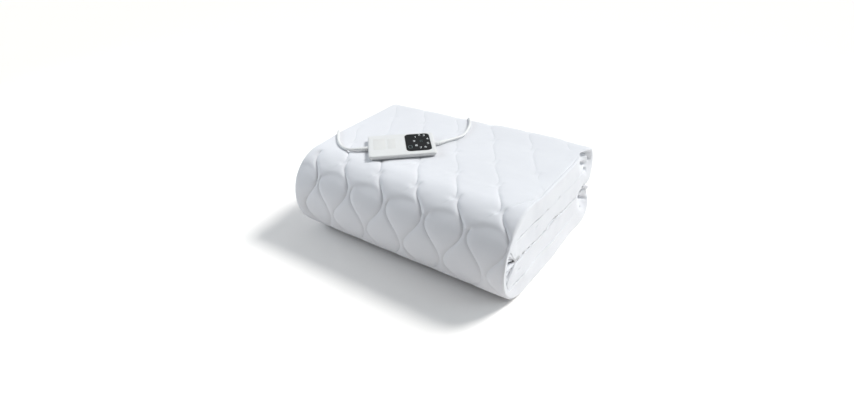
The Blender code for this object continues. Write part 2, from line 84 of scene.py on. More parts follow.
def mix(first: Any, second: Any, share: Any) -> Any:
    """Value at a share of the way from the first to the second."""
    return first + (second - first) * share


def ease(share: Any) -> Any:
    """Smooth step from 0 to 1."""
    share = np.clip(share, 0.0, 1.0)
    return share * share * (3 - 2 * share)


def vector(*values: float) -> Any:
    """Dataclass field that holds a vector."""
    return field(default_factory=lambda: Vector(values))


def table(value: np.ndarray, rows: Sequence[Sequence[float]]) -> list[np.ndarray]:
    """Reads a table smoothly.

    Args:
        value: Where to read it.
        rows: Rows of the value and of what it gives, in rising order.

    Returns:
        One array for each further column.
    """
    stations = np.array(rows)
    place = np.clip(np.searchsorted(stations[:, 0], value) - 1, 0, len(stations) - 2)
    span = stations[place + 1, 0] - stations[place, 0]
    share = ease((value - stations[place, 0]) / span)
    return [mix(stations[place, column], stations[place + 1, column], share)
            for column in range(1, stations.shape[1])]


def noise(u: Any, v: Any, seed: int) -> np.ndarray:
    """Smooth value noise.

    Args:
        u: First coordinate, in cells.
        v: Second coordinate, in cells.
        seed: Number of the pattern.

    Returns:
        Values from -1 to 1.
    """
    cell_u, cell_v = np.floor(u), np.floor(v)
    part_u, part_v = ease(u - cell_u), ease(v - cell_v)

    def corner(step_u: int, step_v: int) -> np.ndarray:
        """Value at one corner of each cell."""
        phase = (cell_u + step_u) * 127.1 + (cell_v + step_v) * 311.7 + seed * 74.7
        return 2 * np.mod(np.sin(phase) * 43758.5453, 1.0) - 1

    low = mix(corner(0, 0), corner(1, 0), part_u)
    high = mix(corner(0, 1), corner(1, 1), part_u)
    return mix(low, high, part_v)


@dataclass(frozen=True)
class Ramp:
    """Smooth rise from 0 to 1: where it starts, and its span, which is negative for a fall."""

    start: float
    span: float

    def at(self, value: Any) -> Any:
        """Its share at a value."""
        return ease((value - self.start) / self.span)


@dataclass(frozen=True)
class Waver:
    """One layer of unevenness: its depth, the size of its cells, its seed and its shift in cells."""

    depth: float
    cell: tuple[float, float]
    seed: int
    shift: tuple[float, float] = (0.0, 0.0)

    def at(self, u: Any, v: Any) -> np.ndarray:
        """Its depth at places on a surface."""
        cell, shift = self.cell, self.shift
        return self.depth * noise(u / cell[0] + shift[0], v / cell[1] + shift[1], self.seed)


@dataclass(frozen=True)
class Crease:
    """Soft trough placed on a face: its middle, half sizes, tilt in degrees and depth."""

    across: float
    up: float
    half_length: float
    half_width: float
    tilt: float
    depth: float

    def press(self, u: np.ndarray, v: np.ndarray) -> np.ndarray:
        """How deep it presses in at places on the face."""
        c, s = math.cos(math.radians(self.tilt)), math.sin(math.radians(self.tilt))
        along = ((u - self.across) * c + (v - self.up) * s) / self.half_length
        aside = ((v - self.up) * c - (u - self.across) * s) / self.half_width
        return self.depth * np.exp(-along**4 - np.abs(aside) ** 2.5)


def smooth_curve(route: Sequence[Sequence[float]], lowest: float, samples: int = 8) -> list[Vector]:
    """Smooth curve through a route's own points.

    Args:
        route: Points that the curve passes.
        lowest: Least height of the curve.
        samples: Points made for each stretch of the route.

    Returns:
        The curve's points.
    """
    points = [Vector(point) for point in route]
    padded = [2 * points[0] - points[1], *points, 2 * points[-1] - points[-2]]
    curve = []
    for a, b, c, d in zip(padded, padded[1:], padded[2:], padded[3:]):
        for step in range(samples):
            t = step / samples
            point = 0.5 * (2 * b + (c - a) * t + (2 * a - 5 * b + 4 * c - d) * t**2
                           + (3 * b - a - 3 * c + d) * t**3)
            point.z = max(point.z, lowest)
            curve.append(point)
    return [*curve, points[-1]]


def length_of(points: Sequence[Vector]) -> float:
    """Length of a line through points."""
    return sum((after - before).length for before, after in zip(points, points[1:]))


# ---------------------------------------------------------------- node trees


class Graph:
    """Places and links the nodes of one tree."""

    def __init__(self, tree: bpy.types.NodeTree) -> None:
        """Keeps the tree."""
        self.tree = tree

    def add(self, kind: str, inputs: Mapping[Any, Any] | None = None, **settings: Any) -> bpy.types.Node:
        """Adds a node.

        Args:
            kind: Blender's name of the node type.
            inputs: Value or output socket for each input, by its name or number.
            **settings: Values of the node's own properties.

        Returns:
            The node.
        """
        node = self.tree.nodes.new(kind)
        for name, value in settings.items():
            setattr(node, name, value)
        self.feed(node, inputs or {})
        return node

    def feed(self, node: bpy.types.Node, inputs: Mapping[Any, Any]) -> None:
        """Links or sets a node's inputs, by their names or numbers."""
        for name, value in inputs.items():
            if isinstance(value, bpy.types.NodeSocket):
                self.tree.links.new(value, node.inputs[name])
            else:
                node.inputs[name].default_value = value

    def math(self, operation: str, *values: Any) -> bpy.types.NodeSocket:
        """Output of a Math node of that operation."""
        return self.add("ShaderNodeMath", dict(enumerate(values)), operation=operation).outputs[0]


def new_tree(kind: str, name: str, inputs: Iterable[tuple[str, str, Any]],
             outputs: Iterable[tuple[str, str]]) -> tuple[Graph, Mapping[str, Any], bpy.types.Node]:
    """Node group with named sockets.

    Args:
        kind: Whether it is a "Shader" or a "Geometry" tree.
        name: The group's name.
        inputs: Name, socket type and value of each input.
        outputs: Name and socket type of each output.

    Returns:
        The graph, the sockets of its input node by name, and its output node.
    """
    tree = bpy.data.node_groups.new(name, f"{kind}NodeTree")
    for label, form, value in inputs:
        socket = tree.interface.new_socket(label, in_out="INPUT", socket_type=f"NodeSocket{form}")
        if value is not None:
            socket.default_value = value
    for label, form in outputs:
        tree.interface.new_socket(label, in_out="OUTPUT", socket_type=f"NodeSocket{form}")
    graph = Graph(tree)
    return graph, graph.add("NodeGroupInput").outputs, graph.add("NodeGroupOutput")


def plain_weave_group() -> bpy.types.NodeTree:
    """Over and under of a fine plain weave, as a height and a mask of painted shade in the gaps between the
    threads.
    """
    graph, given, result = new_tree(
        "Shader", "plain weave", (("Vector", "Vector", None), ("Threads per Metre", "Float", 1500.0)),
        (("Height", "Float"), ("Gap Shade", "Float")))
    split = graph.add("ShaderNodeSeparateXYZ", {0: given["Vector"]})
    waves = []
    for axis in ("X", "Y"):
        turns = graph.math("MULTIPLY", split.outputs[axis], given["Threads per Metre"])
        waves.append(graph.math("SINE", graph.math("MULTIPLY", turns, math.pi)))
    product = graph.math("MULTIPLY", *waves)
    gap = graph.math("SUBTRACT", 1.0, graph.math("ABSOLUTE", product))
    graph.feed(result, {"Height": graph.math("MULTIPLY_ADD", product, 0.5, 0.5),
                        "Gap Shade": graph.math("POWER", gap, 4.0)})
    return graph.tree


def nap_group() -> bpy.types.NodeTree:
    """Short brushed nap and slow patches, as a height and a mask."""
    graph, given, result = new_tree(
        "Shader", "brushed nap",
        (("Vector", "Vector", None), ("Hair Scale", "Float", 900.0), ("Patch Scale", "Float", 18.0)),
        (("Height", "Float"), ("Patch", "Float")))
    for label, scale, detail in (("Height", "Hair Scale", 3.0), ("Patch", "Patch Scale", 4.0)):
        texture = graph.add("ShaderNodeTexNoise", {
            "Vector": given["Vector"], "Scale": given[scale], "Detail": detail})
        graph.feed(result, {label: texture.outputs["Fac"]})
    return graph.tree


def moulded_grain_group() -> bpy.types.NodeTree:
    """Spark-eroded grain of a moulding with faint handling marks."""
    graph, given, result = new_tree(
        "Shader", "moulded grain",
        (("Vector", "Vector", None), ("Grain Scale", "Float", 1400.0), ("Mark Scale", "Float", 60.0)),
        (("Height", "Float"), ("Marks", "Float")))
    grain = graph.add("ShaderNodeTexVoronoi", {
        "Vector": given["Vector"], "Scale": given["Grain Scale"]}, feature="SMOOTH_F1")
    marks = graph.add("ShaderNodeTexNoise", {
        "Vector": given["Vector"], "Scale": given["Mark Scale"], "Detail": 6.0, "Roughness": 0.62})
    graph.feed(result, {"Height": grain.outputs["Distance"], "Marks": marks.outputs["Fac"]})
    return graph.tree


GEOMETRY = ("Geometry", "Geometry")
BEAD_SPREAD = (0.88, 1.1)
GROOVE_SHARPNESS = 3.0
GROOVE_FADE = 8.0


def end_tree(graph: Graph, shape: bpy.types.NodeSocket, given: Mapping[str, Any],
             result: bpy.types.Node) -> bpy.types.NodeTree:
    """Ends a geometry tree in smooth shading, Realize Instances and Set Material."""
    smooth = graph.add("GeometryNodeSetShadeSmooth", {"Geometry": shape})
    real = graph.add("GeometryNodeRealizeInstances", {"Geometry": smooth.outputs[0]})
    painted = graph.add("GeometryNodeSetMaterial", {
        "Geometry": real.outputs[0], "Material": given["Material"]})
    graph.feed(result, {0: painted.outputs[0]})
    return graph.tree


def stitch_tree() -> bpy.types.NodeTree:
    """Rounded stitches laid end to end along the edges of a wire mesh."""
    graph, given, result = new_tree("Geometry", "stitch run", (
        (*GEOMETRY, None), ("Pitch", "Float", 0.0034), ("Length", "Float", 0.0026),
        ("Thickness", "Float", 0.0006), ("Seed", "Int", 7), ("Material", "Material", None)), (GEOMETRY,))
    line = graph.add("GeometryNodeMeshToCurve", {"Mesh": given["Geometry"]})
    places = graph.add("GeometryNodeCurveToPoints", {
        "Curve": line.outputs[0], "Length": given["Pitch"]}, mode="LENGTH")
    bead = graph.add("GeometryNodeMeshUVSphere", {"Segments": 6, "Rings": 4, "Radius": 0.5})
    spread = graph.add("FunctionNodeRandomValue", {
        2: BEAD_SPREAD[0], 3: BEAD_SPREAD[1], "Seed": given["Seed"]}, data_type="FLOAT")
    size = graph.add("ShaderNodeCombineXYZ", {
        "X": given["Thickness"], "Y": given["Thickness"],
        "Z": graph.math("MULTIPLY", given["Length"], spread.outputs[1])})
    turned = graph.add("FunctionNodeAlignRotationToVector", {"Vector": places.outputs["Tangent"]}, axis="Z")
    stitches = graph.add("GeometryNodeInstanceOnPoints", {
        "Points": places.outputs["Points"], "Instance": bead.outputs["Mesh"],
        "Rotation": turned.outputs[0], "Scale": size.outputs[0]})
    return end_tree(graph, stitches.outputs[0], given, result)


def ribbed_sleeve_tree() -> bpy.types.NodeTree:
    """Tapering sleeve with rings cut round it, swept along a curve."""
    graph, given, result = new_tree("Geometry", "ribbed sleeve", (
        (*GEOMETRY, None), ("Root Radius", "Float", 0.005), ("Tip Radius", "Float", 0.0034),
        ("Groove Depth", "Float", 0.0005), ("Grooves", "Float", 6.0), ("Rings", "Int", 97),
        ("Material", "Material", None)), (GEOMETRY,))
    fine = graph.add("GeometryNodeResampleCurve", {"Curve": given["Geometry"], "Count": given["Rings"]})
    along = graph.add("GeometryNodeSplineParameter").outputs["Factor"]
    taper = graph.add("ShaderNodeMapRange", {
        "Value": along, "To Min": given["Root Radius"], "To Max": given["Tip Radius"]})
    turns = graph.math("MULTIPLY", graph.math("MULTIPLY", along, given["Grooves"]), 2 * math.pi)
    wave = graph.math("MULTIPLY_ADD", graph.math("COSINE", turns), -0.5, 0.5)
    wave = graph.math("POWER", wave, GROOVE_SHARPNESS)
    ends = [graph.math("MINIMUM", graph.math("MULTIPLY", away, GROOVE_FADE), 1.0)
            for away in (along, graph.math("SUBTRACT", 1.0, along))]
    cut = graph.math("MULTIPLY", wave, graph.math("MULTIPLY", *ends))
    cut = graph.math("MULTIPLY", cut, given["Groove Depth"])
    profile = graph.add("GeometryNodeCurvePrimitiveCircle", {"Resolution": 28, "Radius": 1.0})
    swept = graph.add("GeometryNodeCurveToMesh", {
        "Curve": fine.outputs[0], "Profile Curve": profile.outputs[0],
        "Scale": graph.math("SUBTRACT", taper.outputs[0], cut), "Fill Caps": True})
    return end_tree(graph, swept.outputs[0], given, result)


# ---------------------------------------------------------------- finishes


@dataclass(frozen=True)
class Groups:
    """The shader groups, built once."""

    weave: bpy.types.NodeTree = field(default_factory=plain_weave_group)
    nap: bpy.types.NodeTree = field(default_factory=nap_group)
    grain: bpy.types.NodeTree = field(default_factory=moulded_grain_group)


def blank_material(name: str) -> tuple[bpy.types.Material, Graph, bpy.types.Node]:
    """New material with its graph and its Principled shader."""
    material = bpy.data.materials.new(name)
    material.use_nodes = True
    return material, Graph(material.node_tree), material.node_tree.nodes["Principled BSDF"]


@dataclass(frozen=True)
class Finish:
    """Looks that every finish has: two colours that vary into each other, roughness and relief."""

    name: str
    colour: Colour
    shade: Colour
    roughness: float = 0.42
    roughness_spread: float = 0.16
    bump: float = 0.7

    def paint(self, graph: Graph, share: Any) -> bpy.types.NodeSocket:
        """Colour at a share of the way to the shade."""
        return graph.add("ShaderNodeMixRGB", {
            "Fac": share, "Color1": (*self.colour, 1), "Color2": (*self.shade, 1)}).outputs[0]

    def cover(self, graph: Graph, shader: bpy.types.Node, share: Any, wear: Any, height: Any) -> None:
        """Gives a shader its colour, roughness and relief.

        Args:
            graph: The material's graph.
            shader: Its Principled shader.
            share: Share of the way to the shade.
            wear: Mask that the roughness follows.
            height: Relief in metres.
        """
        least = self.roughness - self.roughness_spread / 2
        bump = graph.add("ShaderNodeBump", {"Height": height, "Strength": self.bump, "Distance": 1.0})
        graph.feed(shader, {
            "Base Color": self.paint(graph, share), "Normal": bump.outputs[0],
            "Roughness": graph.math("MULTIPLY_ADD", wear, self.roughness_spread, least)})


@dataclass(frozen=True)
class ClothFinish(Finish):
    """Brushed white woven cover that follows the cloth's own map."""

    roughness: float = 0.86
    roughness_spread: float = 0.1
    bump: float = 0.8
    sheen: float = 0.22
    sheen_roughness: float = 0.55
    specular: float = 0.25
    threads: float = 1300.0
    weave_height: float = 0.00007
    nap_height: float = 0.00016
    # How strongly the painted shade in the stitch grooves and in the weave's gaps darkens the colour towards
    # the shade colour.
    valley_shade: float = 0.55
    gap_shade: float = 0.18
    patch_shade: float = 0.9
    patch_start: float = -0.25

    def build(self, groups: Groups) -> bpy.types.Material:
        """Material of this cloth.

        Args:
            groups: The shared shader groups.

        Returns:
            The material.
        """
        material, graph, shader = blank_material(self.name)
        uv = graph.add("ShaderNodeUVMap", uv_map=CLOTH_UV).outputs[0]
        weave = graph.add("ShaderNodeGroup", node_tree=groups.weave)
        graph.feed(weave, {"Vector": uv, "Threads per Metre": self.threads})
        nap = graph.add("ShaderNodeGroup", node_tree=groups.nap)
        graph.feed(nap, {"Vector": uv})
        # Painted shade: the cloth's colour darkens along the stitch grooves.
        groove_shade = graph.add("ShaderNodeAttribute", attribute_name=GROOVE_SHADE_ATTRIBUTE).outputs["Fac"]
        patch = graph.math("MULTIPLY_ADD", nap.outputs["Patch"], self.patch_shade, self.patch_start)
        dip = graph.math("MULTIPLY", groove_shade, self.valley_shade)
        # Painted shade: the weave's gaps darken the cloth's colour.
        gap = graph.math("MULTIPLY", weave.outputs["Gap Shade"], self.gap_shade)
        total = graph.math("ADD", graph.math("ADD", patch, dip), gap)
        height = graph.math("ADD", graph.math("MULTIPLY", weave.outputs["Height"], self.weave_height),
                            graph.math("MULTIPLY", nap.outputs["Height"], self.nap_height))
        self.cover(graph, shader, graph.math("MINIMUM", total, 1.0), nap.outputs["Patch"], height)
        graph.feed(shader, {"Sheen Weight": self.sheen, "Sheen Roughness": self.sheen_roughness,
                            "Specular IOR Level": self.specular})
        return material


@dataclass(frozen=True)
class MouldedFinish(Finish):
    """Moulded plastic with a fine grain, read from Object coordinates."""

    grain_height: float = 0.00002
    gloss: float = 0.5
    metallic: float = 0.0
    grain_scale: float = 1400.0

    def build(self, groups: Groups) -> bpy.types.Material:
        """Material of this moulding.

        Args:
            groups: The shared shader groups.

        Returns:
            The material.
        """
        material, graph, shader = blank_material(self.name)
        grain = graph.add("ShaderNodeGroup", node_tree=groups.grain)
        where = graph.add("ShaderNodeTexCoord").outputs["Object"]
        graph.feed(grain, {"Vector": where, "Grain Scale": self.grain_scale})
        marks = grain.outputs["Marks"]
        height = graph.math("MULTIPLY", grain.outputs["Height"], self.grain_height)
        self.cover(graph, shader, marks, marks, height)
        graph.feed(shader, {"Metallic": self.metallic, "Specular IOR Level": self.gloss})
        return material


@dataclass(frozen=True)
class Finishes:
    """Every finish of the object."""

    groups: Groups = field(default_factory=Groups)
    cloth: ClothFinish = ClothFinish("quilted cloth", (0.732, 0.734, 0.760), (0.677, 0.677, 0.705))
    thread: MouldedFinish = MouldedFinish(
        "quilting thread", (0.86, 0.87, 0.89), (0.78, 0.79, 0.81), 0.5, grain_scale=5000.0)
    housing: MouldedFinish = MouldedFinish(
        "handset plastic", (0.75, 0.75, 0.745), (0.70, 0.70, 0.69), 0.40, grain_height=0.000012)
    fields: MouldedFinish = MouldedFinish("handset fields", (0.725, 0.72, 0.705), (0.68, 0.675, 0.66), 0.44)
    panel: MouldedFinish = MouldedFinish(
        "gloss panel", (0.004, 0.005, 0.0055), (0.007, 0.008, 0.0085), 0.25, grain_height=0.000001, gloss=0.2)
    mark: MouldedFinish = MouldedFinish(
        "panel print", (0.80, 0.82, 0.82), (0.70, 0.72, 0.72), 0.45, grain_height=0.000002)
    faint: MouldedFinish = MouldedFinish(
        "faint panel print", (0.15, 0.20, 0.20), (0.10, 0.14, 0.14), 0.45, grain_height=0.000002)
    cord: MouldedFinish = MouldedFinish("cord sheath", (0.83, 0.83, 0.82), (0.76, 0.76, 0.75))
    tie: MouldedFinish = MouldedFinish(
        "tie band", (0.74, 0.74, 0.73), (0.66, 0.66, 0.65), 0.72, grain_height=0.0001, grain_scale=2200.0)
    metal: MouldedFinish = MouldedFinish(
        "nickel pin", (0.72, 0.71, 0.69), (0.60, 0.59, 0.57), 0.26, grain_height=0.000004, metallic=1.0)

    def make(self, look: ClothFinish | MouldedFinish) -> bpy.types.Material:
        """The material of one look, made at its first use."""
        return bpy.data.materials.get(look.name) or look.build(self.groups)

    def dress(self, data: bpy.types.ID, look: ClothFinish | MouldedFinish, slot: Slot,
              *nodes: str) -> bpy.types.Object:
        """Hands over a new piece of a finished mesh or curve, named after it."""
        return hand_over(add_piece(data.name, data, self.make(look)), slot, *nodes)


# ---------------------------------------------------------------- pieces


def link_object(name: str, data: bpy.types.ID) -> bpy.types.Object:
    """Object of some data at the origin, linked to the scene."""
    item = bpy.data.objects.new(name, data)
    bpy.context.scene.collection.objects.link(item)
    return item


def add_piece(name: str, data: bpy.types.ID, material: bpy.types.Material) -> bpy.types.Object:
    """Object of a finished mesh or curve, with the material unless it has its own."""
    if not data.materials:
        data.materials.append(material)
    return link_object(name, data)


def hand_over(piece: bpy.types.Object, slot: Slot, *nodes: str) -> bpy.types.Object:
    """Gives a piece its body and hides the solids that it stands for."""
    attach(piece, BODY)
    if nodes:
        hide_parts(*nodes)
    LOG.info("%s: %d faces", piece.name, len(getattr(piece.data, "polygons", ())))
    return piece


def mesh_from_loops(name: str, loops: Sequence[Sequence[Vector]], joined: bool = False) -> bpy.types.Mesh:
    """Mesh lofted through loops of equal count.

    Args:
        name: The mesh's name.
        loops: Closed loops of points.
        joined: Whether the last loop meets the first one, instead of both being filled.

    Returns:
        A mesh whose faces point outwards.
    """
    form = bmesh.new()
    rings = [[form.verts.new(point) for point in loop] for loop in loops]
    for ring, after in zip(rings, rings[1:] + rings[:joined]):
        for index in range(len(ring)):
            following = (index + 1) % len(ring)
            form.faces.new((ring[index], ring[following], after[following], after[index]))
    if not joined:
        form.faces.new(rings[0])
        form.faces.new(rings[-1])
    bmesh.ops.recalc_face_normals(form, faces=form.faces)
    mesh = bpy.data.meshes.new(name)
    form.to_mesh(mesh)
    form.free()
    mesh.shade_smooth()
    return mesh


def rounded_loop(size_x: float, size_y: float, corner: float, height: float,
                 arc_steps: int = 8, side_steps: int = 6) -> list[Vector]:
    """Loop of a rectangle with round corners at a height, its centre on the Z axis."""
    points = []
    corner = min(corner, size_x / 2 - 1e-5, size_y / 2 - 1e-5)
    x, y = size_x / 2 - corner, size_y / 2 - corner
    centres = ((x, y), (-x, y), (-x, -y), (x, -y))

    def on_arc(number: int, quarter: float) -> Vector:
        """Point of a corner's arc, at a quarter turn counted from +X."""
        angle = math.pi / 2 * quarter
        centre = centres[number % 4]
        return Vector((centre[0] + corner * math.cos(angle), centre[1] + corner * math.sin(angle), height))

    for number in range(4):
        points += [on_arc(number, number + step / arc_steps) for step in range(arc_steps + 1)]
        start, end = points[-1], on_arc(number + 1, number + 1)
        points += [mix(start, end, step / side_steps) for step in range(1, side_steps)]
    return points


def poly_curve(name: str, points: Sequence[Vector]) -> bpy.types.Curve:
    """Curve with one open poly spline through points."""
    data = bpy.data.curves.new(name, "CURVE")
    data.dimensions = "3D"
    spline = data.splines.new("POLY")
    spline.points.add(len(points) - 1)
    for target, point in zip(spline.points, points):
        target.co = (*point, 1.0)
    return data


def to_mesh_piece(source: bpy.types.Object, name: str, material: bpy.types.Material) -> bpy.types.Object:
    """Plain mesh of an evaluated helper object, which is then removed."""
    graph = bpy.context.evaluated_depsgraph_get()
    mesh = bpy.data.meshes.new_from_object(source.evaluated_get(graph))
    bpy.data.objects.remove(source, do_unlink=True)
    mesh.name = name
    return add_piece(name, mesh, material)


def run_tree(source: bpy.types.Object, tree: bpy.types.NodeTree, values: Mapping[str, Any],
             name: str, material: bpy.types.Material) -> bpy.types.Object:
    """Runs a geometry tree on a helper and keeps the result as a plain mesh.

    Args:
        source: The helper, which is removed.
        tree: The tree to run.
        values: Value of each named input.
        name: The new piece's name.
        material: Its finish.

    Returns:
        The new piece.
    """
    modifier = source.modifiers.new(tree.name, "NODES")
    modifier.node_group = tree
    sockets = {item.name: item.identifier for item in tree.interface.items_tree if item.in_out == "INPUT"}
    for label, value in {**values, "Material": material}.items():
        modifier[sockets[label]] = value
    source.update_tag()
    bpy.context.view_layer.update()
    return to_mesh_piece(source, name, material)


# ---------------------------------------------------------------- the folded blanket


@dataclass(frozen=True)
class SideView:
    """Outline of the folded stack as seen along X at one end of it."""

    height: float
    front: float
    upper_back: float
    lower_back: float
    gap: float = 0.0023

    @property
    def strip(self) -> float:
        """Thickness of one strip of plies."""
        return (self.height - 3 * self.gap) / 4

    @property
    def turn(self) -> float:
        """Outer radius of each fold at the back."""
        return self.strip + self.gap / 2


@dataclass(frozen=True)
class Stretch:
    """One leg of the fold path: its rows, its right edge, its lobes and the depth of its quilting."""

    leg: Leg
    rows: int
    inset: float = 0.0015
    corner: float = 0.0005
    thinnest: float = 0.0
    lobe: float = 0.0
    quilt: tuple[float, float] = (0.0, 0.0)


STRETCHES = (
    Stretch(Leg.UPPER_UNDER, rows=92),
    Stretch(Leg.UPPER_BACK, rows=60, corner=0.0040, thinnest=0.0100, lobe=0.0130, quilt=(0.0, 0.0011)),
    Stretch(Leg.TOP, rows=112, inset=0.0, corner=0.0050, quilt=(0.0011, 0.0023)),
    Stretch(Leg.FRONT, rows=104, inset=0.0010, corner=0.0050, thinnest=0.0095, lobe=0.0095,
            quilt=(0.0023, 0.0)),
    Stretch(Leg.BOTTOM, rows=84, inset=0.0010, corner=0.0060),
    Stretch(Leg.LOWER_BACK, rows=60, corner=0.0045, thinnest=0.0100, lobe=0.0115),
    Stretch(Leg.LOWER_OVER, rows=92),
)


@dataclass(frozen=True)
class FoldPath:
    """Side view of the stack: the outer skin goes back and forth through four strips."""

    left: SideView = SideView(height=0.1690, front=-0.190, upper_back=0.171, lower_back=0.192)
    right: SideView = SideView(height=0.1725, front=-0.192, upper_back=0.178, lower_back=0.189)
    wrap_depth: float = 0.079
    tip_y: float = -0.160
    tip_thickness: float = 0.0210
    tip_taper: float = 6.0
    lobes: int = 3
    lobe_fullness: float = 0.7
    front_lean: float = 0.93
    front_bend: float = 1.05
    back_bend: float = 1.3
    back_fullness: float = 0.93
    front_fullness: tuple[tuple[float, float], ...] = (
        (0.0, 1.0), (0.10, 0.92), (0.20, 0.73), (0.26, 0.50), (0.32, 0.25), (0.42, 0.21), (0.58, 0.22),
        (0.68, 0.25), (0.74, 0.52), (0.80, 0.74), (0.90, 0.93), (1.0, 1.0))
    front_quilt: float = 0.0028
    front_rise: Ramp = Ramp(0.0, 0.25)
    front_fall: Ramp = Ramp(0.60, 0.26)
    back_quilt: float = 0.0022
    back_rise: Ramp = Ramp(0.0, 0.2)
    back_fall: Ramp = Ramp(1.0, -0.2)
    last_rise: Ramp = Ramp(0.7, 0.3)

    def skin(self, view: SideView, leg: Leg, share: np.ndarray) -> tuple[np.ndarray, np.ndarray]:
        """Outer skin in the YZ plane.

        Args:
            view: The stack's outline at one end.
            leg: The stretch.
            share: Places along the stretch, from 0 to 1.

        Returns:
            Points and outward directions, each as rows of (y, z).
        """
        turn, middle = view.turn, view.height / 2
        upper_y, lower_y = view.upper_back - turn, view.lower_back - turn
        front_y = view.front + self.wrap_depth
        upper_floor, lower_roof = view.height - 2 * turn, 2 * turn
        runs = {
            Leg.UPPER_UNDER: ((self.tip_y, upper_floor), (upper_y, upper_floor), -1),
            Leg.TOP: ((upper_y, view.height), (front_y, view.height), 1),
            Leg.BOTTOM: ((front_y, 0.0), (lower_y, 0.0), -1),
            Leg.LOWER_OVER: ((lower_y, lower_roof), (self.tip_y, lower_roof), 1),
        }
        if leg in runs:
            start, end, outward = runs[leg]
            points = np.stack([mix(start[0], end[0], share), mix(start[1], end[1], share)], -1)
            return points, np.stack([0 * share, 0 * share + outward], -1)
        centre, reach, rise, angle = {
            Leg.UPPER_BACK: ((upper_y, upper_floor + turn), turn, turn, math.pi * (share - 0.5)),
            Leg.LOWER_BACK: ((lower_y, turn), turn, turn, math.pi * (share - 0.5)),
            Leg.FRONT: ((front_y, middle), self.wrap_depth, middle, math.pi * (0.5 + share)),
        }[leg]
        points = np.stack([centre[0] + reach * np.cos(angle), centre[1] + rise * np.sin(angle)], -1)
        normals = np.stack([rise * np.cos(angle), reach * np.sin(angle)], -1)
        return points, normals / np.linalg.norm(normals, axis=-1, keepdims=True)

    def thickness(self, stretch: Stretch, share: np.ndarray, strip: float) -> np.ndarray:
        """Thickness of the strip: thin round the folds, where the inner plies buckle into lobes."""
        wave = np.abs(np.sin(math.pi * self.lobes * share)) ** self.lobe_fullness
        ridge = stretch.lobe * wave * np.sin(math.pi * share) ** 2
        if stretch.leg is Leg.FRONT:
            bent = np.sin(math.pi * share**self.front_lean) ** self.front_bend
            return mix(strip, stretch.thinnest, bent) + ridge
        if stretch.thinnest:
            return mix(strip, stretch.thinnest, np.sin(math.pi * share) ** self.back_bend) + ridge
        if stretch.leg is Leg.UPPER_UNDER:
            return mix(self.tip_thickness, strip, ease(share * self.tip_taper))
        if stretch.leg is Leg.LOWER_OVER:
            return mix(self.tip_thickness, strip, ease((1 - share) * self.tip_taper))
        return strip + 0 * share

    def stuffed(self, stretch: Stretch, share: np.ndarray, strip: float) -> np.ndarray:
        """Thickness away from the left end, where the plies crowd together and fill each fold."""
        if stretch.leg in (Leg.UPPER_BACK, Leg.LOWER_BACK):
            return strip * mix(1.0, self.back_fullness, np.sin(math.pi * share))
        if stretch.leg is Leg.FRONT:
            return strip * table(share, self.front_fullness)[0]
        return strip + 0 * share

    def quilt_depth(self, stretch: Stretch, share: np.ndarray) -> np.ndarray:
        """How deep the stitch lines are drawn in along a stretch."""
        start, end = stretch.quilt
        if stretch.leg is Leg.UPPER_BACK:
            return end * self.back_rise.at(share)
        if stretch.leg is Leg.FRONT:
            return mix(start, self.front_quilt, self.front_rise.at(share)) * (1 - self.front_fall.at(share))
        if stretch.leg is Leg.LOWER_BACK:
            return self.back_quilt * self.back_rise.at(share) * self.back_fall.at(share)
        return mix(start, end, self.last_rise.at(share))


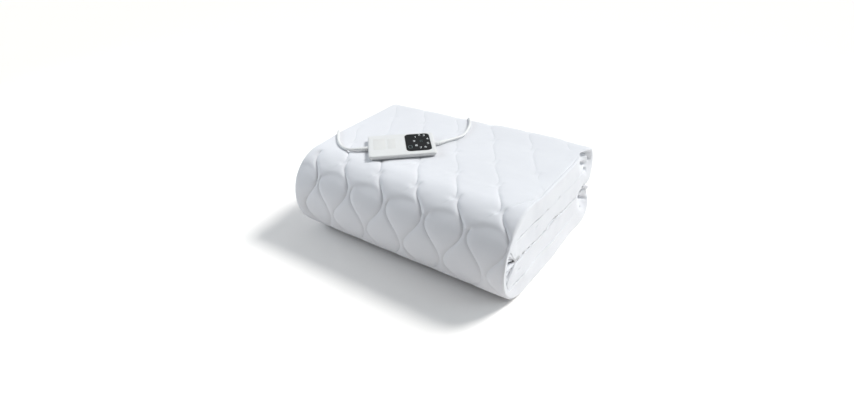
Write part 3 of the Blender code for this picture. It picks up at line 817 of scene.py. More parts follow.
@dataclass(frozen=True)
class QuiltNet:
    """Wavy stitch lines of the ogee quilting, which run along the fold path."""

    pitch: float = 0.0417
    swing: float = 0.0167
    phase: float = -0.1728
    half_wave: float = 0.066
    neck_height: float = 0.136
    first: int = -1
    last: int = 9
    left_margin: float = 0.004
    right_margin: float = 0.003
    full_groove: float = 0.0030
    core_width: float = 0.0024
    valley_width: float = 0.0070
    # Width and gain of the painted shade that darkens the cloth's colour along the stitch lines.
    groove_shade_width: float = 0.0022
    groove_shade_gain: float = 1.4
    crown: float = 0.0017
    edge: Ramp = Ramp(-0.004, 0.010)
    brow: float = 0.0026
    brow_start: float = -0.006
    brow_rise: float = 0.014
    brow_turn: float = 0.0050
    brow_reach: float = 0.024
    lean: Ramp = Ramp(0.0, 0.625)
    plain: Ramp = Ramp(-0.012, 0.016)
    worn_side: Ramp = Ramp(0.200, 0.016)
    worn_back: Ramp = Ramp(-0.120, -0.04)
    wander: Waver = Waver(0.0007, (0.03, 1.0), 3)
    wander_step: float = 5.0
    pucker: Waver = Waver(0.00045, (0.0048, 0.030), 11)
    unevenness: tuple[Waver, ...] = (Waver(0.0006, (0.045, 0.038), 17), Waver(0.00022, (0.011, 0.013), 23))
    drift: tuple[tuple[float, float, float], ...] = (
        (-0.330, -0.002, -0.013), (-0.264, -0.002, -0.011), (-0.198, 0.012, -0.006), (-0.132, 0.015, -0.001),
        (-0.066, 0.017, -0.001), (0.0, 0.006, -0.003), (0.050, 0.0, 0.0))

    @property
    def numbers(self) -> np.ndarray:
        """Number of each stitch line."""
        return np.arange(self.first, self.last + 1)

    @property
    def signs(self) -> np.ndarray:
        """Side to which each line swings first, as 1 or -1."""
        return np.where(self.numbers % 2 == 0, 1.0, -1.0)

    def lines(self, length: np.ndarray) -> np.ndarray:
        """X of each stitch line, one column for each line."""
        ahead, aside = table(length, self.drift)
        wave = self.swing * np.cos(math.pi * (length - ahead) / self.half_wave)
        wander = self.wander.at(length[:, None], self.wander_step * self.numbers)
        middle = self.phase + aside[:, None] + self.pitch * (self.numbers + 0.5)
        return middle - self.signs * wave[:, None] + wander

    def strength(self, length: np.ndarray) -> np.ndarray:
        """Depth of each line as a share: on the top, the stretches that lean left hardly show."""
        ahead, _ = table(length, self.drift)
        lean = -self.signs * np.sin(math.pi * (length - ahead) / self.half_wave)[:, None]
        worn = self.worn_side.at(self.lines(length)) * self.worn_back.at(length)[:, None]
        return (1 - worn) * mix(1.0, self.plain.at(length)[:, None], self.lean.at(lean))

    def brow_depth(self, length: np.ndarray, x: np.ndarray) -> np.ndarray:
        """How far each front cell lies back below the soft arch between its two necks."""
        _, aside = table(length, self.drift)
        arch = np.abs(np.sin(math.pi * (x - self.phase - aside) / (2 * self.pitch)))
        below = length - self.brow_start + self.brow_rise * arch
        begun = 0.5 + 0.5 * np.tanh(below / self.brow_turn)
        return self.brow * begun * np.exp(-np.maximum(below, 0) / self.brow_reach)

    def slant(self, length: np.ndarray) -> np.ndarray:
        """Cosine of the angle between the lines and the fold path."""
        slope = self.swing * math.pi / self.half_wave * np.sin(math.pi * length / self.half_wave)
        return 1 / np.sqrt(1 + slope**2)


@dataclass
class SheetGrid:
    """Points of the swept sheet, ring by ring, with its normals, its map and its painted shade along the
    stitch grooves.
    """

    points: np.ndarray
    cloth: np.ndarray
    groove_shade: np.ndarray
    normals: np.ndarray = field(init=False)

    def __post_init__(self) -> None:
        """Works out the normals from the neighbours of each point."""
        along = np.gradient(self.points, axis=0)
        ring = np.concatenate([self.points[:, -2:-1], self.points, self.points[:, 1:2]], axis=1)
        across = ring[:, 2:] - ring[:, :-2]
        normals = np.cross(along, across)
        size = np.linalg.norm(normals, axis=-1, keepdims=True)
        self.normals = normals / np.maximum(size, 1e-12)

    def cut(self, name: str, windows: Sequence[tuple[np.ndarray, np.ndarray]]) -> bpy.types.Mesh:
        """Mesh of some windows of the grid.

        Args:
            name: The mesh's name.
            windows: Row numbers and column numbers of each window.

        Returns:
            The mesh, with its map, its painted groove shade and the whole grid's normals.
        """
        quads = []
        for rows, columns in windows:
            corner = rows[:, None] * self.points.shape[1] + columns[None, :]
            around = [corner[:-1, :-1], corner[1:, :-1], corner[1:, 1:], corner[:-1, 1:]]
            quads.append(np.stack(around, -1).reshape(-1, 4))
        used, index = np.unique(np.concatenate(quads), return_inverse=True)
        mesh = bpy.data.meshes.new(name)
        mesh.from_pydata(self.points.reshape(-1, 3)[used].tolist(), [], index.reshape(-1, 4).tolist())
        mesh.shade_smooth()
        corners = np.empty(len(mesh.loops), dtype=np.int32)
        mesh.loops.foreach_get("vertex_index", corners)
        layer = mesh.uv_layers.new(name=CLOTH_UV)
        layer.data.foreach_set("uv", self.cloth.reshape(-1, 2)[used][corners].astype(np.float32).ravel())
        # Painted shade along the stitch grooves, which the cloth's colour reads.
        attribute = mesh.attributes.new(GROOVE_SHADE_ATTRIBUTE, "FLOAT", "POINT")
        attribute.data.foreach_set("value", self.groove_shade.reshape(-1)[used].astype(np.float32))
        mesh.normals_split_custom_set_from_vertices(self.normals.reshape(-1, 3)[used].tolist())
        return mesh


@dataclass
class Columns:
    """Collects the columns of the section, each with its ply's middle."""

    place: list[np.ndarray] = field(default_factory=list)
    depth: list[np.ndarray] = field(default_factory=list)
    middle: list[tuple[np.ndarray, np.ndarray]] = field(default_factory=list)
    map_x: list[np.ndarray] = field(default_factory=list)
    # Painted shade of each column, darkest at the stitch lines.
    groove_shade: list[np.ndarray] = field(default_factory=list)

    def add(self, x: np.ndarray, depth: np.ndarray, middle: tuple[np.ndarray, np.ndarray],
            groove_shade: np.ndarray | float = 0.0) -> None:
        """Adds one column; its map runs on by the distance from the column before."""
        if self.place:
            step = np.hypot(x - self.place[-1], depth - self.depth[-1])
            self.map_x.append(self.map_x[-1] + step)
        else:
            self.map_x.append(x)
        self.place.append(x)
        self.depth.append(depth)
        self.middle.append(middle)
        self.groove_shade.append(groove_shade + 0 * x)


@dataclass(frozen=True)
class Skin:
    """Outer skin at every ring: place along the path, start, right corner, end and thickness."""

    length: np.ndarray
    left: np.ndarray
    bend: np.ndarray
    corner: np.ndarray
    end_depth: np.ndarray
    groove: np.ndarray
    outer: np.ndarray

    @property
    def edge(self) -> np.ndarray:
        """Place of the skin's end, counted on round the corner."""
        return self.bend + self.corner * math.pi / 2 + self.end_depth - self.corner


@dataclass(frozen=True)
class Rails:
    """The fold path at every ring, with the stack's left and right end along the first axis."""

    skins: np.ndarray
    normals: np.ndarray
    thick: np.ndarray
    stuffed: np.ndarray

    @property
    def mean(self) -> np.ndarray:
        """Mean thickness of the strip at each ring, as one column."""
        return self.thick.mean(axis=0)

    def at(self, rows: slice) -> "Rails":
        """The same at some rings."""
        return Rails(self.skins[:, rows], self.normals[:, rows], self.thick[:, rows], self.stuffed[:, rows])


@dataclass(frozen=True)
class Zone:
    """Part of the stack that fades in along its ramps in X, Y and Z."""

    x: tuple[Ramp, ...] = ()
    y: tuple[Ramp, ...] = ()
    z: tuple[Ramp, ...] = ()

    def at(self, *place: Any) -> Any:
        """Its share at places."""
        pairs = zip((self.x, self.y, self.z), place)
        return math.prod(ramp.at(value) for ramps, value in pairs for ramp in ramps)


@dataclass(frozen=True)
class Lobe:
    """Roll of the inner plies that shows in the pocket behind the front wrap, seen end-on.

    Its middle is in the YZ plane. The tilt is in degrees.
    """

    middle: tuple[float, float]
    half_long: float
    half_thick: float
    tilt: float
    end_x: float
    bend: float = 0.0
    nose: float = 0.005
    depth: float = 0.034
    fullness: float = 0.8
    loop_points: int = 32

    def swollen(self, value: float) -> float:
        """A sine or cosine of the oval, filled out towards its corners."""
        return math.copysign(abs(value) ** self.fullness, value)

    def loops(self) -> list[list[Vector]]:
        """Its outlines, from the rounded nose at the right end to the far end inside the stack."""
        stations = [(math.sin(turn), self.end_x - self.nose * (1 - math.cos(turn)))
                    for turn in (0.15, 0.35, 0.6, 0.85, 1.1, 1.35, math.pi / 2)]
        stations += [(1.0, self.end_x - share * self.depth) for share in (0.3, 0.5, 0.75, 1.0)]
        c, s = math.cos(math.radians(self.tilt)), math.sin(math.radians(self.tilt))
        loops = []
        for scale, x in stations:
            loop = []
            for step in range(self.loop_points):
                angle = 2 * math.pi * step / self.loop_points
                long = (self.half_long - self.half_thick * (1 - scale)) * self.swollen(math.cos(angle))
                thick = self.half_thick * scale * self.swollen(math.sin(angle))
                thick += self.bend * (1 - (long / self.half_long) ** 2)
                y, z = self.middle[0] + long * c - thick * s, self.middle[1] + long * s + thick * c
                loop.append(Vector((x, y, z)))
            loops.append(loop)
        return loops


FAR_AWAY = 9.9
RUN_SHARES = (0.0, 0.008, 0.02, 0.04, 0.07, 0.12, 0.25, 0.4, 0.6, 0.75, 0.88, 0.93, 0.96, 0.98, 0.992, 1.0)
HALF_TURN = tuple(math.pi / 2 - math.pi * step / 12 for step in range(1, 12))


@dataclass
class Blanket:
    """The quilted blanket: a sheet folded in half twice, then swept along the fold path."""

    path: FoldPath = field(default_factory=FoldPath)
    net: QuiltNet = field(default_factory=QuiltNet)
    width: float = 0.480
    outer_share: float = 0.24
    least_outer: float = 0.0056
    ply_gap: float = 0.0011
    least_gap: float = 0.0008
    thin_strip: float = 0.0130
    gap_growth: float = 0.028
    hem_setback: float = 0.005
    hem_wander: float = 0.0025
    hem_waves: tuple[float, float] = (17.0, 11.0)
    hem_angles: tuple[int, ...] = (-55, 0, 55)
    hem_fullness: float = 0.7
    second_hem_step: float = 0.003
    cell_columns: int = 20
    cell_crowding: float = 0.55
    edge_columns: int = 38
    edge_crowding: float = 0.2
    side_columns: int = 18
    inner_corner: float = 0.0013
    most_corner: float = 0.9
    edge_setback: float = 0.0006
    edge_waver: Waver = Waver(0.0008, (0.05, 1.0), 31)
    closed_gaps: tuple[float, float, float] = (0.00105, 0.00114, 0.0)
    closed_side: Ramp = Ramp(0.200, 0.034)
    closed_reach: float = 0.005
    open_end: Ramp = Ramp(-0.222, 0.030)
    side: Ramp = Ramp(0.205, 0.018)
    side_creases: tuple[Crease, ...] = (
        Crease(0.134, 0.146, 0.034, 0.018, -38, 0.0080), Crease(0.131, 0.163, 0.022, 0.0036, -16, 0.0105),
        Crease(0.156, 0.148, 0.012, 0.0034, -56, 0.0070), Crease(0.134, 0.141, 0.016, 0.0034, -27, 0.0085),
        Crease(0.143, 0.125, 0.007, 0.0032, -30, 0.0060), Crease(0.152, 0.057, 0.038, 0.020, -42, 0.0100),
        Crease(0.150, 0.077, 0.016, 0.0034, -24, 0.0055), Crease(0.118, 0.071, 0.008, 0.0030, -32, 0.0045),
        Crease(0.159, 0.052, 0.020, 0.0034, -30, 0.0085), Crease(0.179, 0.057, 0.011, 0.0034, -65, 0.0060),
        Crease(0.146, 0.036, 0.008, 0.0030, -20, 0.0065), Crease(-0.044, 0.1305, 0.005, 0.0018, 10, 0.0024),
        Crease(0.005, 0.133, 0.005, 0.0018, 15, 0.0024), Crease(-0.080, 0.116, 0.005, 0.0018, 20, 0.0020),
        Crease(-0.168, 0.099, 0.013, 0.0026, 38, 0.0045), Crease(-0.163, 0.080, 0.012, 0.0026, 24, 0.0045),
        Crease(-0.138, 0.0640, 0.005, 0.0018, 14, 0.0020))
    top: Ramp = Ramp(-0.006, 0.004)
    top_creases: tuple[Crease, ...] = (Crease(0.226, -0.101, 0.021, 0.0020, 63, 0.0017),)
    rim_setback: float = 0.0058
    rim_width: float = 0.0017
    rim_depth: float = 0.0021
    rim: Zone = Zone(y=(Ramp(-0.115, 0.02), Ramp(0.110, -0.03)))
    tip_reach: tuple[tuple[float, float, float], ...] = (
        (0.044, -0.009, -0.010), (0.058, -0.013, -0.014), (0.068, -0.009, -0.012), (0.077, 0.003, -0.010),
        (0.085, 0.011, -0.008), (0.089, 0.011, -0.008), (0.100, 0.006, -0.010), (0.112, -0.003, -0.011),
        (0.122, -0.009, -0.010), (0.129, -0.009, -0.009))
    tip_pocket: Ramp = Ramp(0.2375, -0.0115)
    tip_front: Ramp = Ramp(-0.120, -0.036)
    tip_turns: tuple[float, ...] = (0.3, 0.6, 0.82, 0.95, 0.995)
    tip_round: float = 0.0024
    sag: Waver = Waver(0.0011, (0.11, 0.10), 41, shift=(3, 0))
    swell: Waver = Waver(0.0016, (0.09, 0.06), 43, shift=(0, 7))
    right_edge: Ramp = Ramp(0.19, 0.05)
    right_wavers: tuple[Waver, ...] = (Waver(0.0013, (0.055, 0.045), 47), Waver(0.0004, (0.016, 0.020), 53))
    back: Zone = Zone(y=(Ramp(0.12, 0.05),), z=(Ramp(0.0, 0.03),))
    back_waver: Waver = Waver(0.0014, (0.07, 0.05), 59)
    bulge: Zone = Zone(x=(Ramp(0.005, 0.05), Ramp(0.215, -0.05)), y=(Ramp(0.06, 0.09),),
                       z=(Ramp(0.09, 0.06),))
    bulge_size: tuple[float, float] = (0.0030, 0.0020)
    low_corner: Zone = Zone(x=(Ramp(-0.150, -0.07),), y=(Ramp(-0.10, -0.06),), z=(Ramp(0.060, -0.060),))
    corner_drawn: float = 0.008
    back_drawn: float = 0.006
    front_drawn: float = 0.012
    drawn_left: Ramp = Ramp(-0.120, -0.120)
    drawn_front: Ramp = Ramp(-0.020, -0.100)
    lobes: tuple[Lobe, ...] = (
        Lobe((-0.1690, 0.1110), 0.0150, 0.0036, -46, 0.2372, bend=0.0020),
        Lobe((-0.1655, 0.0985), 0.0155, 0.0034, -25, 0.2342, bend=0.0018),
        Lobe((-0.1650, 0.0885), 0.0145, 0.0030, -4, 0.2366, bend=-0.0012),
        Lobe((-0.1675, 0.0785), 0.0120, 0.0030, 14, 0.2340, bend=-0.0015),
        Lobe((-0.1700, 0.0690), 0.0105, 0.0030, 30, 0.2360, bend=-0.0012))
    stitch_pitch: float = 0.0034
    stitch_lift: tuple[float, float] = (-0.0005, 0.00012)
    stitch_margins: tuple[int, int] = (8, 14)
    coarse_step: int = 5
    grid: SheetGrid = field(init=False)
    line_columns: list[int] = field(default_factory=list)
    line_strength: np.ndarray = field(init=False)
    skin_last: int = 0

    def rings(self) -> tuple[np.ndarray, np.ndarray, np.ndarray]:
        """Number of the stretch, share along it and length from a neck, for each ring."""
        numbers, shares, points = [], [], []
        mean = SideView(*(mix(a, b, 0.5) for a, b in zip(astuple(self.path.left), astuple(self.path.right))))
        for number, stretch in enumerate(STRETCHES):
            last = number == len(STRETCHES) - 1
            share = np.arange(stretch.rows + last) / stretch.rows
            numbers.append(np.full(len(share), number))
            shares.append(share)
            points.append(self.path.skin(mean, stretch.leg, share)[0])
        numbers, shares, points = map(np.concatenate, (numbers, shares, points))
        steps = np.linalg.norm(np.diff(points, axis=0), axis=1)
        lengths = np.concatenate([[0.0], np.cumsum(steps)])
        front = np.array([STRETCHES[n].leg is Leg.FRONT for n in numbers])
        neck = int(np.argmax(front & (points[:, 1] < self.net.neck_height)))
        drop = (points[neck - 1, 1] - self.net.neck_height) / (points[neck - 1, 1] - points[neck, 1])
        return numbers, shares, lengths - mix(lengths[neck - 1], lengths[neck], drop)

    def section(self, length: np.ndarray, thickness: np.ndarray, groove: np.ndarray,
                inset: np.ndarray, corner: np.ndarray) -> Columns:
        """Closed outline of the twice-folded sheet for every ring at once.

        Args:
            length: Place of each ring along the path.
            thickness: Thickness of the strip there.
            groove: Depth of the stitch lines there.
            inset: Setback of the right edge there.
            corner: Radius of the skin's corner at the right edge there.

        Returns:
            The columns, from the left edge over the skin and round through the plies.
        """
        growth = (thickness - self.thin_strip) / self.gap_growth
        gap = np.minimum(self.ply_gap, mix(self.least_gap, self.ply_gap, growth))
        outer = np.maximum(self.outer_share * thickness, self.least_outer)
        ply = (thickness - outer - 3 * gap) / 3
        radius = thickness / 2
        corner = np.minimum(corner, radius * self.most_corner)
        tight = self.inner_corner
        side = self.width / 2 - inset
        right = side - radius
        left_radius = (outer + gap + ply) / 2
        left = -self.width / 2 + left_radius
        waves = [self.hem_wander * np.sin(length * wave + number)
                 for number, wave in enumerate(self.hem_waves)]
        hem = -self.width / 2 + self.hem_setback + waves[0]
        second_hem = hem + self.second_hem_step + waves[1]
        wall = (outer + ply) / 2
        nest_half = (thickness - outer - ply) / 2
        nest_depth = (thickness + outer - ply) / 2
        columns = Columns()
        self.add_skin(columns, Skin(length, left, side - corner, corner, radius, groove, outer))

        def fold(angles: Iterable[float], reach: Any, centre: Any, half: Any, partner: Any) -> None:
            """Columns round a fold, whose ply's middle lies half-way to its partner's arc."""
            for angle in angles:
                c, s = math.cos(angle), math.sin(angle)
                x, depth = right + reach * c, centre + half * s
                other = (right + partner[0] * c, partner[1] + partner[2] * s)
                columns.add(x, depth, ((x + other[0]) / 2, (depth + other[1]) / 2))

        def run(start: Any, end: Any, depth: Any, middle: Any) -> None:
            """Columns along a ply's face, closer together near both edges."""
            for share in RUN_SHARES:
                x = mix(start, end, share)
                columns.add(x, depth, (x, middle))

        def hem_round(edge: Any, top: Any, bottom: Any) -> None:
            """Columns round a hem's edge, from its lower face to its upper face."""
            for angle in map(math.radians, self.hem_angles):
                reach = (bottom - top) / 2 * math.cos(angle) * self.hem_fullness
                depth = (top + bottom) / 2 - (bottom - top) / 2 * math.sin(angle)
                columns.add(edge - reach, depth, (edge - reach, (top + bottom) / 2))

        for step in range(1, self.side_columns):
            share = step / self.side_columns
            down = ease(share) * (radius + tight * (math.pi / 2 - 1))
            turned = np.maximum(down - (radius - tight), 0) / tight
            x = side - tight + tight * np.cos(turned)
            depth = np.minimum(radius + down, thickness - tight) + tight * np.sin(turned)
            inner = (right + (radius - wall) * math.cos(share * math.pi / 2),
                     nest_depth + nest_half * math.sin(share * math.pi / 2))
            columns.add(x, depth, ((x + inner[0]) / 2, (depth + inner[1]) / 2))
        run(side - tight, hem, thickness, thickness - ply / 2)
        hem_round(hem, thickness - ply, thickness)
        run(hem, right, thickness - ply, thickness - ply / 2)
        fold(HALF_TURN, radius - wall, nest_depth, nest_half, (radius, radius, radius))
        run(right, left, outer, outer / 2)
        columns.add(left - gap / 2, outer + gap / 2, (left - left_radius / 2, left_radius))
        run(left, right, outer + gap, outer + gap + ply / 2)
        slit = thickness - 2 * ply - 1.5 * gap
        fold([-angle for angle in HALF_TURN], radius - wall - gap, nest_depth, nest_half - gap,
             (0.0, slit, 0.0))
        run(right, second_hem, thickness - ply - gap, thickness - 1.5 * ply - gap)
        hem_round(second_hem, thickness - 2 * ply - gap, thickness - ply - gap)
        run(second_hem, right, thickness - 2 * ply - gap, thickness - 1.5 * ply - gap)
        columns.add(right + gap / 2, slit, (right + (radius - wall - gap) / 2, slit))
        run(right, left, outer + gap + ply, outer + gap + ply / 2)
        for angle in HALF_TURN:
            x = left - left_radius * math.cos(angle)
            depth = left_radius + left_radius * math.sin(angle)
            columns.add(x, depth, ((x + left - gap / 2) / 2, (depth + outer + gap / 2) / 2))
        return columns

    def add_skin(self, columns: Columns, skin: Skin) -> None:
        """Columns of the outer skin, laid along the stitch lines so that each line is crisp.

        Args:
            columns: The outline so far.
            skin: The outer skin's sizes at every ring.
        """
        net = self.net
        lines = np.clip(net.lines(skin.length), (skin.left + net.left_margin)[:, None],
                        (skin.bend + skin.corner - net.right_margin)[:, None])
        slant = net.slant(skin.length)
        self.line_strength = net.strength(skin.length)
        strength = [1.0, *self.line_strength.T, 1.0]
        bounds = [skin.left, *lines.T, skin.edge]
        for number, (start, end) in enumerate(zip(bounds, bounds[1:])):
            first, last = number == 0, number == len(bounds) - 2
            count = self.edge_columns if last else self.cell_columns
            for step in range(count):
                even = step / count
                share = mix(even, 0.5 - 0.5 * math.cos(math.pi * even), self.cell_crowding)
                if first:
                    share = math.sin(math.pi / 2 * even)
                if last:
                    share = mix(even, 1 - math.cos(math.pi / 2 * even), self.edge_crowding)
                x = mix(start, end, share)
                gaps = (FAR_AWAY if first else (x - start) * slant, FAR_AWAY if last else (end - x) * slant)
                self.add_skin_column(columns, skin, x, gaps, strength[number:number + 2])
                if step == 0 and not first:
                    self.line_columns.append(len(columns.place) - 1)
        self.add_skin_column(columns, skin, skin.edge, (FAR_AWAY, FAR_AWAY), (1.0, 1.0))
        self.skin_last = len(columns.place) - 1

    def add_skin_column(self, columns: Columns, skin: Skin, x: np.ndarray, gaps: tuple[Any, Any],
                        strength: Sequence[Any]) -> None:
        """One column of the skin with its relief.

        Args:
            columns: The outline so far.
            skin: The outer skin's sizes at every ring.
            x: Place across the skin, which runs on round the right fold.
            gaps: Distances to the stitch lines on both sides.
            strength: Shares of the groove's depth that those lines have.
        """
        net = self.net
        dips = [0.5 * share * (np.exp(-gap / net.core_width) + np.exp(-gap / net.valley_width))
                for gap, share in zip(gaps, strength)]
        dip, near = 1 - (1 - dips[0]) * (1 - dips[1]), np.maximum(*dips)
        loft = skin.groove / net.full_groove
        fade = 1 - net.edge.at(x - skin.bend - skin.corner)
        waves = sum(waver.at(skin.length, x) for waver in net.unevenness)
        waves = waves + near * net.pucker.at(skin.length, x)
        relief = skin.groove * dip - net.crown * loft**2 * (1 - dip) ** 2
        drawn = fade * (relief + net.brow_depth(skin.length, x) + loft * waves)
        turned = np.clip((x - skin.bend) / skin.corner, 0, math.pi / 2)
        down = np.maximum(x - skin.bend - skin.corner * math.pi / 2, 0)
        reach = np.minimum(x, skin.bend) + (skin.corner - drawn) * np.sin(turned)
        depth = skin.corner - (skin.corner - drawn) * np.cos(turned) + down
        inward = np.cos(turned) * (1 - turned / (math.pi / 2))
        middle = (reach - np.sin(turned) * skin.outer / 2, depth + inward * skin.outer / 2)
        # Painted shade: the cloth's colour darkens towards the nearest stitch line.
        painted_shade = np.exp(-np.minimum(*gaps) / net.groove_shade_width) * np.minimum(1, net.groove_shade_gain * near)
        columns.add(reach, depth, middle, painted_shade * np.minimum(loft, 1) * fade)

    def build_grid(self) -> None:
        """Carries the section round the fold path and rounds off the plies at both free ends."""
        numbers, shares, length = self.rings()
        path, count = self.path, len(shares)
        rails = Rails(*(np.empty((2, count, size)) for size in (2, 2, 1, 1)))
        groove = np.empty(count)
        for number, stretch in enumerate(STRETCHES):
            rows = numbers == number
            share = shares[rows]
            groove[rows] = path.quilt_depth(stretch, share)
            for side, view in enumerate((path.left, path.right)):
                rails.skins[side, rows], rails.normals[side, rows] = path.skin(view, stretch.leg, share)
                rails.thick[side, rows, 0] = path.thickness(stretch, share, view.strip)
                rails.stuffed[side, rows, 0] = path.stuffed(stretch, share, view.strip)
        edges = np.array([(stretch.inset, stretch.corner) for stretch in STRETCHES]).T
        other = np.clip(numbers + np.where(shares > 0.5, 1, -1), 0, len(STRETCHES) - 1)
        inset, corner = (mix(values[numbers], values[other], np.abs(shares - 0.5)) for values in edges)
        bound = (numbers > 0) & (numbers < len(STRETCHES) - 1)
        inset = inset + self.edge_waver.at(length, 0.0) * bound + self.edge_setback
        columns = self.section(length, rails.mean[:, 0], groove, inset, corner)
        x, depth = np.stack(columns.place, 1), np.stack(columns.depth, 1)
        middle_x, middle_depth = (np.stack([middle[axis] + 0 * length for middle in columns.middle], 1)
                                  for axis in (0, 1))

        def tip(rows: slice) -> list[np.ndarray]:
            """Rings that round off a free end, from the strip outwards."""
            caps = []
            for turn in self.tip_turns:
                keep = math.sqrt(1 - turn**2)
                ring = self.carry(mix(middle_x[rows], x[rows], keep),
                                  mix(middle_depth[rows], depth[rows], keep), rails.at(rows))
                ring[..., 1] -= turn * self.tip_round
                caps.append(ring)
            return caps

        strip = self.carry(x, depth, rails)
        points = self.reach_tips(np.concatenate([*tip(slice(0, 1))[::-1], strip, *tip(slice(-1, None))]))
        points = np.concatenate([points, points[:, :1]], axis=1)
        grow = [(len(self.tip_turns), len(self.tip_turns)), (0, 0)]
        cloth = np.stack([np.stack(columns.map_x, 1), length[:, None] + 0 * x], -1)
        cloth = np.pad(cloth, [*grow, (0, 0)], mode="edge")
        cloth = np.concatenate([cloth, cloth[:, -1:] + np.array([0.001, 0.0])], axis=1)
        # Painted shade in the stitch grooves, carried on to the rounded free ends.
        groove_shade = np.pad(np.stack(columns.groove_shade, 1), grow, mode="edge")
        self.grid = SheetGrid(self.settle(points), cloth, np.concatenate([groove_shade, groove_shade[:, :1]], axis=1))

    def carry(self, x: np.ndarray, depth: np.ndarray, rails: Rails) -> np.ndarray:
        """Points of the section on the fold path, whose side view changes evenly along X.

        Args:
            x: Place of each column across.
            depth: Its depth below the outer skin.
            rails: The fold path at the same rings.

        Returns:
            Points, one row for each ring.
        """
        across = x / self.width + 0.5
        hollow, full = (mix(*size, across) for size in (rails.thick, rails.stuffed))
        deep = (depth * mix(hollow, full, self.open_end.at(x)) / rails.mean)[..., None]
        ends = [skin[:, None] - normal[:, None] * deep for skin, normal in zip(rails.skins, rails.normals)]
        flat = mix(*ends, across[..., None])
        return np.concatenate([self.drawn_in(x, flat[..., 0])[..., None], flat], -1)

    def reach_tips(self, points: np.ndarray) -> np.ndarray:
        """Lets the two free ends reach the front, but for a pocket at the right side."""
        x, y, z = np.moveaxis(points, -1, 0)
        pocket, closed = table(z, self.tip_reach)
        moved = mix(pocket, closed, self.tip_pocket.at(x)) * self.tip_front.at(y) * self.open_end.at(x)
        ends = np.zeros((len(points), 1))
        ends[:self.stretch_rows(Leg.UPPER_UNDER)[-1]] = 1
        ends[self.stretch_rows(Leg.LOWER_OVER)[1]:] = 1
        return np.stack([x, y + moved * ends, z], -1)

    def drawn_in(self, x: Any, y: Any) -> Any:
        """X once the left end is drawn in."""
        return x + mix(self.back_drawn, self.front_drawn, self.drawn_front.at(y)) * self.drawn_left.at(x)

    def settle(self, points: np.ndarray) -> np.ndarray:
        """Lets the whole stack lie a little unevenly, with its underside flat."""
        x, y, z = np.moveaxis(points, -1, 0)
        height = self.top_height(x)
        z = self.close_gaps(x, z, height)
        level, top, bulge = np.clip(z / height, 0, 1), self.top.at(z - height), self.bulge.at(x, y, z)
        out = self.right_edge.at(x) * sum(waver.at(y, z) for waver in self.right_wavers)
        out = out - self.side.at(x) * sum(crease.press(y, z) for crease in self.side_creases)
        out = out + self.corner_drawn * self.low_corner.at(x, y, z)
        slack = self.back.at(x, y, z) * self.back_waver.at(x, z) + self.bulge_size[0] * bulge
        rise = self.sag.at(x, y) * level + self.swell.at(x, y) * np.sin(math.pi * level)
        rise = rise + self.bulge_size[1] * bulge
        rim = np.exp(-((x - self.width / 2 + self.rim_setback) / self.rim_width) ** 2) * self.rim.at(x, y, z)
        seam = self.rim_depth * rim + sum(crease.press(x, y) for crease in self.top_creases)
        return np.stack([x + out, y + slack, z + rise - top * seam], -1)

    def close_gaps(self, x: np.ndarray, z: np.ndarray, height: np.ndarray) -> np.ndarray:
        """Heights once the strips have swollen towards each other along the right edge."""
        gap = self.path.left.gap
        strip = (height - 3 * gap) / 4
        right = self.closed_side.at(x)
        for number, closed in enumerate(self.closed_gaps, 1):
            away = z - number * (strip + gap) + gap / 2
            far = np.abs(away)
            pull = np.clip(far / (gap / 2), 0, 1) * (1 - ease((far - gap / 2) / self.closed_reach))
            z = z - closed * right * np.sign(away) * pull
        return z

    def stretch_rows(self, *legs: Leg) -> np.ndarray:
        """Row numbers of neighbouring stretches, with the first row of the next one."""
        starts = np.cumsum([len(self.tip_turns)] + [stretch.rows for stretch in STRETCHES])
        order = [stretch.leg for stretch in STRETCHES]
        first, last = order.index(legs[0]), order.index(legs[-1])
        return np.arange(starts[first], starts[last + 1] + 1)

    def build(self, finishes: Finishes) -> None:
        """Builds the cover, the base, the inner faces, the edges and the stitches.

        Args:
            finishes: The object's finishes.
        """
        self.build_grid()
        rows, width = self.grid.points.shape[:2]
        skin = np.arange(0, self.skin_last + 1)
        coarse = np.unique(np.concatenate([skin[::self.coarse_step], skin[-1:]]))
        rest = np.arange(self.skin_last, width)
        under = np.arange(0, self.stretch_rows(Leg.UPPER_UNDER)[-1] + 1)
        over = np.arange(self.stretch_rows(Leg.LOWER_OVER)[0], rows)
        front = self.stretch_rows(Leg.FRONT)[0]
        parts = {
            "blanket_cover": [(self.stretch_rows(Leg.UPPER_BACK, Leg.FRONT), skin)],
            "blanket_base": [(self.stretch_rows(Leg.BOTTOM, Leg.LOWER_BACK), skin)],
            "blanket_inner": [(under, coarse), (over, coarse)],
            "blanket_upper_edges": [(np.arange(front + 1), rest)],
            "blanket_lower_edges": [(np.arange(front, rows), rest)],
        }
        meshes = [self.grid.cut(name, windows) for name, windows in parts.items()]
        for mesh in (*meshes, self.lobe_mesh()):
            piece = finishes.dress(mesh, finishes.cloth, Slot.CLOTH, "blanket")
        self.build_stitches(finishes)

    def lobe_mesh(self) -> bpy.types.Mesh:
        """The rolls of inner plies in the front pocket, as one mesh with the cloth's map."""
        form = bmesh.new()
        for lobe in self.lobes:
            form.from_mesh(mesh_from_loops("lobe", lobe.loops()))
        mesh = bpy.data.meshes.new("blanket_front_lobes")
        form.to_mesh(mesh)
        form.free()
        mesh.shade_smooth()
        layer = mesh.uv_layers.new(name=CLOTH_UV)
        for loop in mesh.loops:
            place = mesh.vertices[loop.vertex_index].co
            layer.data[loop.index].uv = (place.x + place.y, place.z)
        return mesh

